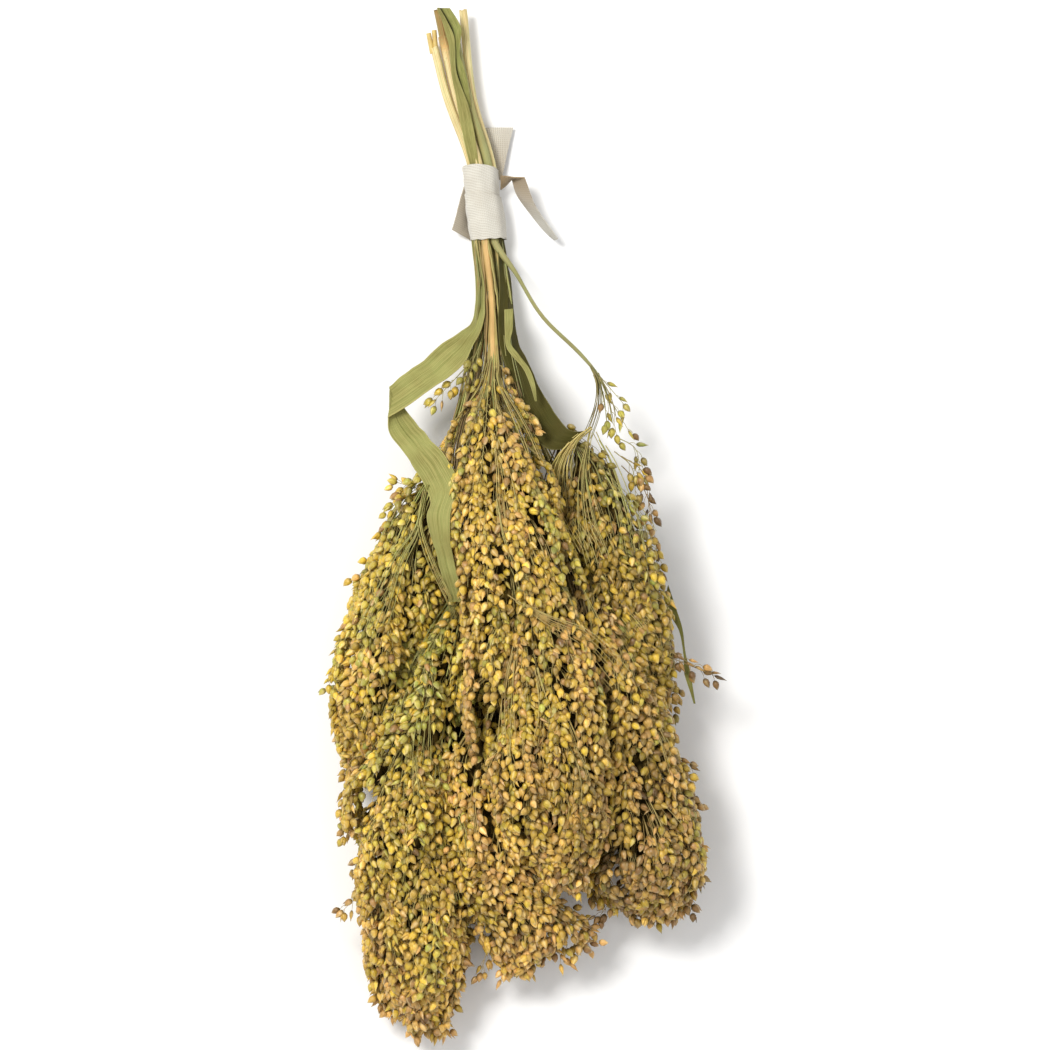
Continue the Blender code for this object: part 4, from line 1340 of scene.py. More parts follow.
class NodeBench:
    """Short hands for laying nodes in one tree."""

    def __init__(self, tree: bpy.types.NodeTree) -> None:
        """Works on a tree."""
        self.tree = tree

    def node(self, kind: str, **settings: object) -> bpy.types.Node:
        """Adds a node and sets its properties."""
        made = self.tree.nodes.new(kind)
        for name, value in settings.items():
            setattr(made, name, value)
        return made

    def feed(self, socket: Socket, value: object) -> None:
        """Links an output to a socket, or sets the socket's own value."""
        if isinstance(value, Socket):
            self.tree.links.new(value, socket)
        elif isinstance(value, tuple) and len(value) == 3 and socket.type == "RGBA":
            socket.default_value = (*value, 1.0)
        else:
            socket.default_value = value

    def sum(self, operation: str, a: object, b: object = 0.0) -> Socket:
        """Adds a Math node and gives its result."""
        made = self.node("ShaderNodeMath", operation=operation)
        self.feed(made.inputs[0], a)
        self.feed(made.inputs[1], b)
        return made.outputs[0]

    def spread(self, value: object, low: float, high: float, to_low: float, to_high: float) -> Socket:
        """Maps a range of values to another, held at its ends."""
        made = self.node("ShaderNodeMapRange")
        for name, number in (("From Min", low), ("From Max", high), ("To Min", to_low), ("To Max", to_high)):
            made.inputs[name].default_value = number
        self.feed(made.inputs["Value"], value)
        return made.outputs["Result"]

    def mix(self, share: object, a: object, b: object) -> Socket:
        """Mixes two colours."""
        made = self.node("ShaderNodeMix", data_type="RGBA")
        self.feed(made.inputs[0], share)
        self.feed(made.inputs[6], a)
        self.feed(made.inputs[7], b)
        return made.outputs[2]

    def lit(self, colour: object, shade: object, dark: float, light: float, low: float = 0.0) -> Socket:
        """Scales a colour by its shade, from dark at the low shade to light at one."""
        made = self.node("ShaderNodeVectorMath", operation="SCALE")
        self.feed(made.inputs[0], colour)
        self.feed(made.inputs["Scale"], self.spread(shade, low, 1.0, dark, light))
        return made.outputs[0]

    def coat(self, shader: bpy.types.Node, colour: object, mask: object, sleek: float, rough: float) -> None:
        """Feeds a shader its colour, and a roughness that follows a mask."""
        self.feed(shader.inputs["Base Color"], colour)
        self.feed(shader.inputs["Roughness"], self.spread(mask, 0.0, 1.0, sleek, rough))

    def ramp(self, share: object, stops: tuple[tuple[float, Colour], ...]) -> Socket:
        """Reads a colour along stops."""
        made = self.node("ShaderNodeValToRGB")
        elements = made.color_ramp.elements
        elements[0].position, elements[0].color = stops[0][0], (*stops[0][1], 1.0)
        elements[1].position, elements[1].color = stops[-1][0], (*stops[-1][1], 1.0)
        for position, colour in stops[1:-1]:
            elements.new(position).color = (*colour, 1.0)
        self.feed(made.inputs[0], share)
        return made.outputs[0]

    def noise(self, scale: float, detail: float = 3.0, vector: object = None) -> Socket:
        """Adds a noise of a scale in metres and gives its value."""
        made = self.node("ShaderNodeTexNoise")
        made.inputs["Scale"].default_value = scale
        made.inputs["Detail"].default_value = detail
        if vector is not None:
            self.feed(made.inputs["Vector"], vector)
        return made.outputs["Fac"]

    def place(self, stretch: Point = (1.0, 1.0, 1.0)) -> Socket:
        """The place on the object in metres, stretched."""
        coordinates = self.node("ShaderNodeTexCoord")
        mapping = self.node("ShaderNodeMapping")
        mapping.inputs["Scale"].default_value = stretch
        self.feed(mapping.inputs["Vector"], coordinates.outputs["Object"])
        return mapping.outputs["Vector"]

    def drawn(
        self, across: object, fine: float, along: object, coarse: float, apart: object = 0.0
    ) -> Socket:
        """A place for noise drawn out along a piece, and apart for pieces whose last value differs."""
        made = self.node("ShaderNodeCombineXYZ")
        for socket, value, scale in zip(made.inputs, (across, along, apart), (fine, coarse, 40.0)):
            self.feed(socket, self.sum("MULTIPLY", value, scale))
        return made.outputs[0]

    def tone(self) -> tuple[Socket, ...]:
        """The tone's four values: hue, shade, along and around."""
        read = self.node("ShaderNodeAttribute", attribute_name=TONE)
        parts = self.node("ShaderNodeSeparateColor")
        self.feed(parts.inputs[0], read.outputs["Color"])
        return (*parts.outputs, read.outputs["Alpha"])

    def group(self, tree: bpy.types.NodeTree, **values: object) -> tuple[Socket, ...]:
        """Places a shared group with its own values, and gives its outputs."""
        made = self.node("ShaderNodeGroup", node_tree=tree)
        for name, value in values.items():
            self.feed(made.inputs[name], value)
        return tuple(made.outputs)


class SharedEffects:
    """The node groups that more than one finish uses."""

    def __init__(self) -> None:
        """Makes each group once."""
        self.mottle = self.make_mottle()
        self.ribs = self.make_ribs()

    @staticmethod
    def start(name: str, inputs: dict[str, tuple[str, object]], outputs: dict[str, str]) -> tuple:
        """Starts a group with its sockets.

        Args:
            name: The group's name.
            inputs: The type and value of each input.
            outputs: The type of each output.

        Returns:
            The group, a bench on it, its input node and its output node.
        """
        tree = bpy.data.node_groups.new(name, "ShaderNodeTree")
        for label, (kind, value) in inputs.items():
            socket = tree.interface.new_socket(label, in_out="INPUT", socket_type=kind)
            socket.default_value = value
        for label, kind in outputs.items():
            tree.interface.new_socket(label, in_out="OUTPUT", socket_type=kind)
        bench = NodeBench(tree)
        return tree, bench, bench.node("NodeGroupInput"), bench.node("NodeGroupOutput")

    def make_mottle(self) -> bpy.types.NodeTree:
        """Dry mottling: patches of shade over a colour, with a finer grain."""
        tree, bench, given, result = self.start(
            "dry_mottle",
            {
                "Colour": ("NodeSocketColor", (0.5, 0.4, 0.2, 1.0)),
                "Stain": ("NodeSocketColor", (0.2, 0.12, 0.05, 1.0)),
                "Scale": ("NodeSocketFloat", 300.0),
                "Depth": ("NodeSocketFloat", 0.3),
            },
            {"Colour": "NodeSocketColor", "Mask": "NodeSocketFloat"},
        )
        where = bench.node("ShaderNodeTexCoord").outputs["Object"]
        coarse = bench.node("ShaderNodeTexNoise")
        bench.feed(coarse.inputs["Vector"], where)
        bench.feed(coarse.inputs["Scale"], given.outputs["Scale"])
        coarse.inputs["Detail"].default_value = 4.0
        mask = bench.spread(coarse.outputs["Fac"], 0.38, 0.68, 0.0, 1.0)
        share = bench.sum("MULTIPLY", mask, given.outputs["Depth"])
        colour = bench.mix(share, given.outputs["Colour"], given.outputs["Stain"])
        bench.feed(result.inputs["Colour"], colour)
        bench.feed(result.inputs["Mask"], mask)
        return tree

    def make_ribs(self) -> bpy.types.NodeTree:
        """Fine ribs that run along a piece, from its place across or around."""
        tree, bench, given, result = self.start(
            "fine_ribs",
            {"Across": ("NodeSocketFloat", 0.0), "Count": ("NodeSocketFloat", 12.0)},
            {"Height": "NodeSocketFloat", "Groove": "NodeSocketFloat"},
        )
        turns = bench.sum("MULTIPLY", given.outputs["Across"], given.outputs["Count"])
        wave = bench.sum("SINE", bench.sum("MULTIPLY", turns, 2 * math.pi))
        height = bench.spread(wave, -1.0, 1.0, 0.0, 1.0)
        bench.feed(result.inputs["Height"], height)
        bench.feed(result.inputs["Groove"], bench.spread(wave, -0.4, -1.0, 0.0, 1.0))
        return tree


def new_material(name: str) -> tuple[Material, NodeBench, bpy.types.Node]:
    """Starts a material, and gives it, a bench on its tree and its Principled BSDF."""
    made = bpy.data.materials.new(name)
    made.use_nodes = True
    return made, NodeBench(made.node_tree), made.node_tree.nodes["Principled BSDF"]


def bump(bench: NodeBench, shader: bpy.types.Node, height: Socket, depth: float) -> None:
    """Feeds a height to a shader's normal.

    Args:
        bench: The material's bench.
        shader: Its Principled BSDF.
        height: The height, from 0 to 1.
        depth: The height's size, in millimetres.
    """
    made = bench.node("ShaderNodeBump")
    made.inputs["Strength"].default_value = 1.0
    made.inputs["Distance"].default_value = depth * MM
    bench.feed(made.inputs["Height"], height)
    bench.feed(shader.inputs["Normal"], made.outputs["Normal"])


@dataclass(frozen=True)
class HuskFinish:
    """Dry papery husks, from green over golden tan to brown."""

    name: str = "husk"
    green: Colour = (0.36, 0.39, 0.065)
    yellow_green: Colour = (0.53, 0.46, 0.075)
    yellow: Colour = (0.7, 0.48, 0.045)
    golden_tan: Colour = (0.7, 0.44, 0.085)
    pink_tan: Colour = (0.72, 0.41, 0.125)
    brown: Colour = (0.24, 0.125, 0.04)
    # darker towards each husk's foot: its browner glumes, and painted shade
    foot: Colour = (0.1, 0.065, 0.018)
    # the papery tips' colour, also painted as a highlight along each husk's keel
    papery: Colour = (0.86, 0.68, 0.33)
    ribs: float = 7.0
    groove: float = 0.22
    shades: Pair = (0.32, 1.55)  # how its darkest and lightest husks are lit
    roughness: Pair = (0.34, 0.55)

    def material(self, effects: SharedEffects) -> Material:
        """Makes the material."""
        made, bench, shader = new_material(self.name)
        hue, shade, along, around = bench.tone()
        base = bench.ramp(hue, (
            (0.0, self.green), (0.22, self.yellow_green), (0.42, self.yellow),
            (0.62, self.golden_tan), (0.82, self.pink_tan), (1.0, self.brown),
        ))
        mottled, mask = bench.group(effects.mottle, Colour=base, Stain=self.brown, Scale=700.0, Depth=0.3)
        height, groove = bench.group(effects.ribs, Across=around, Count=self.ribs)
        grooved = bench.mix(bench.sum("MULTIPLY", groove, self.groove), mottled, self.brown)
        # A pale band along one side of each husk: its paler keel, and a painted highlight.
        facing = bench.sum("COSINE", bench.sum("MULTIPLY", around, 2 * math.pi))
        keel_highlighted = bench.mix(bench.spread(facing, 0.45, 1.0, 0.0, 0.42), grooved, self.papery)
        # Darker towards the foot: browner glumes, and painted shade.
        foot_shaded = bench.mix(bench.spread(along, 0.34, 0.0, 0.0, 0.9), keel_highlighted, self.foot)
        tipped = bench.mix(bench.spread(along, 0.72, 0.98, 0.0, 0.55), foot_shaded, self.papery)
        end = bench.mix(bench.spread(along, 0.93, 1.0, 0.0, 0.6), tipped, self.brown)
        bench.coat(shader, bench.lit(end, shade, *self.shades), mask, *self.roughness)
        bump(bench, shader, height, 0.05)
        return made


@dataclass(frozen=True)
class StalkFinish:
    """Fine branches, from green over straw to brown."""

    name: str = "fine_branch"
    green: Colour = (0.3, 0.34, 0.1)
    straw: Colour = (0.5, 0.4, 0.13)
    brown: Colour = (0.3, 0.16, 0.06)
    shades: Pair = (0.45, 1.5)
    roughness: Pair = (0.5, 0.7)

    def material(self, effects: SharedEffects) -> Material:
        """Makes the material."""
        made, bench, shader = new_material(self.name)
        hue, shade, _along, _around = bench.tone()
        base = bench.ramp(hue, ((0.0, self.green), (0.5, self.straw), (1.0, self.brown)))
        mottled, mask = bench.group(effects.mottle, Colour=base, Stain=self.brown, Scale=260.0, Depth=0.4)
        lit = bench.lit(mottled, shade, *self.shades)
        bench.coat(shader, lit, mask, *self.roughness)
        return made


@dataclass(frozen=True)
class CoreFinish:
    """The inside of a head, painted dark as the shade between the tassels: a thicket of fine branches."""

    name: str = "inner_thicket"
    # painted shade deep in the head
    dark: Colour = (0.035, 0.024, 0.007)
    light: Colour = (0.36, 0.24, 0.06)
    strands: float = 520.0
    beads: float = 250.0

    def material(self) -> Material:
        """Makes the material."""
        made, bench, shader = new_material(self.name)
        strands = bench.noise(self.strands, 4.0, bench.place((1.0, 0.14, 1.0)))
        cells = bench.node("ShaderNodeTexVoronoi")
        bench.feed(cells.inputs["Vector"], bench.place((1.0, 0.7, 1.0)))
        cells.inputs["Scale"].default_value = self.beads
        # Each bead is lighter at its middle and dark at its rim: painted light and shade on the deeper
        # grains.
        bead = bench.spread(cells.outputs["Distance"], 0.12, 0.62, 1.0, 0.0)
        parts = bench.node("ShaderNodeSeparateColor")
        bench.feed(parts.inputs[0], cells.outputs["Color"])
        deep = bench.sum("MULTIPLY", bead, bench.spread(parts.outputs[0], 0.35, 1.0, 0.1, 1.0))
        share = bench.sum("MAXIMUM", deep, bench.spread(strands, 0.55, 0.75, 0.0, 0.7))
        bench.feed(shader.inputs["Base Color"], bench.mix(share, self.dark, self.light))
        shader.inputs["Roughness"].default_value = 0.85
        shader.inputs["Specular IOR Level"].default_value = 0.05
        bump(bench, shader, bench.sum("ADD", bead, strands), 1.2)
        return made


@dataclass(frozen=True)
class CulmFinish:
    """Cut straw: pale, ribbed, from green to orange straw and brown."""

    name: str = "culm_straw"
    green: Colour = (0.33, 0.37, 0.12)
    pale: Colour = (0.82, 0.72, 0.38)
    orange: Colour = (0.7, 0.43, 0.15)
    brown: Colour = (0.24, 0.14, 0.03)
    # painted shade inside the hollow cut end
    hollow: Colour = (0.06, 0.04, 0.02)
    ribs: float = 16.0
    groove: float = 0.42
    shades: Pair = (0.55, 1.5)
    roughness: Pair = (0.35, 0.6)

    def material(self, effects: SharedEffects) -> Material:
        """Makes the material."""
        made, bench, shader = new_material(self.name)
        hue, shade, along, around = bench.tone()
        base = bench.ramp(hue, ((0.0, self.green), (0.4, self.pale), (0.7, self.orange), (1.0, self.brown)))
        streaks = bench.noise(1.0, 3.0, bench.drawn(around, 17.0, along, 7.0, shade))
        oranged = bench.spread(streaks, 0.47, 0.66, 0.0, 0.8)
        for ends in ((0.04, 0.3, 0.3, 1.0), (0.72, 0.95, 1.0, 0.15)):  # less where it is green or brown
            oranged = bench.sum("MULTIPLY", oranged, bench.spread(hue, *ends))
        streaked = bench.mix(oranged, base, self.orange)
        tint = bench.noise(1.0, 2.0, bench.drawn(around, 9.0, along, 5.0, hue))
        greened = bench.mix(bench.spread(tint, 0.5, 0.72, 0.0, 0.55), streaked, self.green)
        mottled, _mask = bench.group(effects.mottle, Colour=greened, Stain=self.brown, Scale=60.0, Depth=0.3)
        height, groove = bench.group(effects.ribs, Across=around, Count=self.ribs)
        grooved = bench.mix(bench.sum("MULTIPLY", groove, self.groove), mottled, self.brown)
        # Where the shade tone is low, inside the hollow, the colour is painted dark as shade.
        whole = bench.mix(bench.spread(shade, 0.2, 0.0, 0.0, 1.0), grooved, self.hollow)
        bench.coat(shader, bench.lit(whole, shade, *self.shades), streaks, *self.roughness)
        bump(bench, shader, height, 0.12)
        return made


@dataclass(frozen=True)
class BladeFinish:
    """A dried leaf blade with parallel veins."""

    name: str = "leaf_blade"
    sage: Colour = (0.25, 0.28, 0.08)
    olive: Colour = (0.11, 0.1, 0.012)
    straw: Colour = (0.54, 0.48, 0.18)
    # the colour of its stains and of its darker grooves
    stain: Colour = (0.17, 0.13, 0.03)
    ribs: float = 23.0
    groove: float = 0.4
    shades: Pair = (0.0, 1.6)
    darkest: float = -0.33  # the shade that is black
    roughness: Pair = (0.5, 0.68)

    def material(self, effects: SharedEffects) -> Material:
        """Makes the material."""
        made, bench, shader = new_material(self.name)
        hue, shade, along, across = bench.tone()
        base = bench.ramp(hue, ((0.0, self.olive), (0.35, self.sage), (1.0, self.straw)))
        mottled, _mask = bench.group(effects.mottle, Colour=base, Stain=self.stain, Scale=95.0, Depth=0.5)
        fine = bench.noise(1.0, 3.0, bench.drawn(across, 32.0, along, 9.0))
        veins = bench.spread(fine, 0.4, 0.62, 0.0, 1.0)
        paler = bench.mix(0.5, mottled, self.straw)
        vein_share = bench.sum("MULTIPLY", veins, bench.spread(hue, 0.0, 0.5, 0.12, 1.0))
        veined = bench.mix(vein_share, mottled, paler)
        height, groove = bench.group(effects.ribs, Across=across, Count=self.ribs)
        grooved = bench.mix(bench.sum("MULTIPLY", groove, self.groove), veined, self.stain)
        off_middle = bench.sum("ABSOLUTE", bench.sum("SUBTRACT", across, 0.5))
        edged = bench.mix(bench.spread(off_middle, 0.465, 0.5, 0.0, 0.6), grooved, self.straw)
        lit = bench.lit(edged, shade, *self.shades, low=self.darkest)
        bench.coat(shader, lit, veins, *self.roughness)
        shader.inputs["Specular IOR Level"].default_value = 0.1
        height = bench.sum("ADD", bench.sum("MULTIPLY", veins, 0.6), height)
        bump(bench, shader, height, 0.08)
        return made


@dataclass(frozen=True)
class CottonFinish:
    """Unbleached cotton tape in a steep twill, whose lines run nearly along it. Its low threads and loose
    ends are painted darker, as shade.
    """

    name: str = "cotton_twill"
    cotton: Colour = (0.63, 0.605, 0.53)
    # painted shade in the twill's low threads, also the mottle's stain colour
    shade: Colour = (0.36, 0.3, 0.22)
    # painted shade on the loose ends
    stain: Colour = (0.25, 0.155, 0.05)
    pitch: float = 1.0  # from one twill line to the next, in millimetres
    slant: float = 0.22
    thread: float = 0.85
    roughness: Pair = (0.82, 0.95)
    sheen: float = 0.25

    def material(self, effects: SharedEffects) -> Material:
        """Makes the material."""
        made, bench, shader = new_material(self.name)
        along, across, stain, _whole = bench.tone()
        run = bench.sum("MULTIPLY", along, Tape.TONE_RUN * self.slant / self.pitch)
        rise = bench.sum("MULTIPLY", across, Tape.WIDTH / self.pitch)
        line = bench.sum("SINE", bench.sum("MULTIPLY", bench.sum("ADD", run, rise), 2 * math.pi))
        twill = bench.spread(line, -0.9, 0.7, 0.0, 1.0)
        threads = bench.sum("SINE", bench.sum("MULTIPLY", along, 2 * math.pi * Tape.TONE_RUN / self.thread))
        warp = bench.spread(threads, -1.0, 1.0, 0.0, 1.0)
        height = bench.sum("ADD", bench.sum("MULTIPLY", twill, 0.6), bench.sum("MULTIPLY", warp, 0.4))
        # The twill's low threads are painted darker, as shade, more so on the loose ends.
        low = bench.spread(height, 0.6, 0.0, 0.0, 1.0)
        shaded = bench.sum("MULTIPLY", low, bench.spread(stain, 0.0, 0.3, 0.36, 1.1))
        weave_shaded = bench.mix(shaded, self.cotton, self.shade)
        # The loose ends are painted browner, as shade.
        end_shaded = bench.mix(stain, weave_shaded, self.stain)
        mottled, mask = bench.group(effects.mottle, Colour=end_shaded, Stain=self.shade, Scale=140.0, Depth=0.2)
        bench.coat(shader, mottled, mask, *self.roughness)
        shader.inputs["Sheen Weight"].default_value = self.sheen
        bump(bench, shader, height, 0.16)
        return made


@dataclass(frozen=True)
class Lamp:
    """A soft square lamp that faces the bunch. Its place and size are in metres, its power in watts."""

    name: str
    place: Point
    size: float
    power: float
    colour: Colour

    def build(self) -> None:
        """Sets the lamp."""
        data = bpy.data.lights.new(self.name, "AREA")
        data.size, data.energy, data.color = self.size, self.power, self.colour
        lamp = bpy.data.objects.new(self.name, data)
        lamp.location = self.place
        lamp.rotation_euler = (-Vector(self.place)).to_track_quat("-Z", "Y").to_euler()
        bpy.context.scene.collection.objects.link(lamp)


@dataclass
class Studio:
    """The camera, the soft lights and the pale floor. The camera looks straight down on the bunch."""

    frame_pixels: int = 1050
    pixel: float = 0.42  # a pixel of the photograph, in millimetres
    middle: Pair = (-0.42, -0.84)
    height: float = 3.04
    focus_height: float = 0.04
    sensor: float = 36.0
    lamps: tuple[Lamp, ...] = (
        Lamp("key", (-0.85, 0.8, 2.1), 0.7, 46.0, (1.0, 0.985, 0.96)),
        Lamp("fill", (1.3, -0.8, 1.9), 1.8, 8.0, (0.97, 0.985, 1.0)),
    )
    surroundings: float = 0.62
    floor_colour: Colour = (0.93, 0.93, 0.93)
    floor_half: float = 4.0
    floor_drop: float = 0.2  # how far the floor lies under the bunch, in millimetres

    def build(self) -> None:
        """Sets the camera, lights, surroundings and floor."""
        scene = bpy.context.scene
        scene.view_settings.view_transform = "Standard"
        data = bpy.data.cameras.new("camera")
        data.sensor_width = self.sensor
        seen = self.frame_pixels * self.pixel * MM
        data.lens = self.sensor * (self.height - self.focus_height) / seen
        camera = bpy.data.objects.new("camera", data)
        camera.location = (self.middle[0] * MM, self.middle[1] * MM, self.height)
        scene.collection.objects.link(camera)
        scene.camera = camera
        for lamp in self.lamps:
            lamp.build()
        world = bpy.data.worlds.new("surroundings")
        world.use_nodes = True
        background = world.node_tree.nodes["Background"]
        background.inputs["Color"].default_value = (1.0, 1.0, 1.0, 1.0)
        background.inputs["Strength"].default_value = self.surroundings
        scene.world = world
        self.floor()

    def floor(self) -> None:
        """Lays the floor."""
        half = self.floor_half
        mesh = bpy.data.meshes.new("floor")
        corners = [(-half, -half, 0), (half, -half, 0), (half, half, 0), (-half, half, 0)]
        mesh.from_pydata(corners, [], [(0, 1, 2, 3)])
        made, bench, shader = new_material("pale_floor")
        bench.coat(shader, self.floor_colour, bench.noise(3.0), 0.75, 0.9)
        mesh.materials.append(made)
        floor = bpy.data.objects.new("floor", mesh)
        floor.location.z = -self.floor_drop * MM
        bpy.context.scene.collection.objects.link(floor)


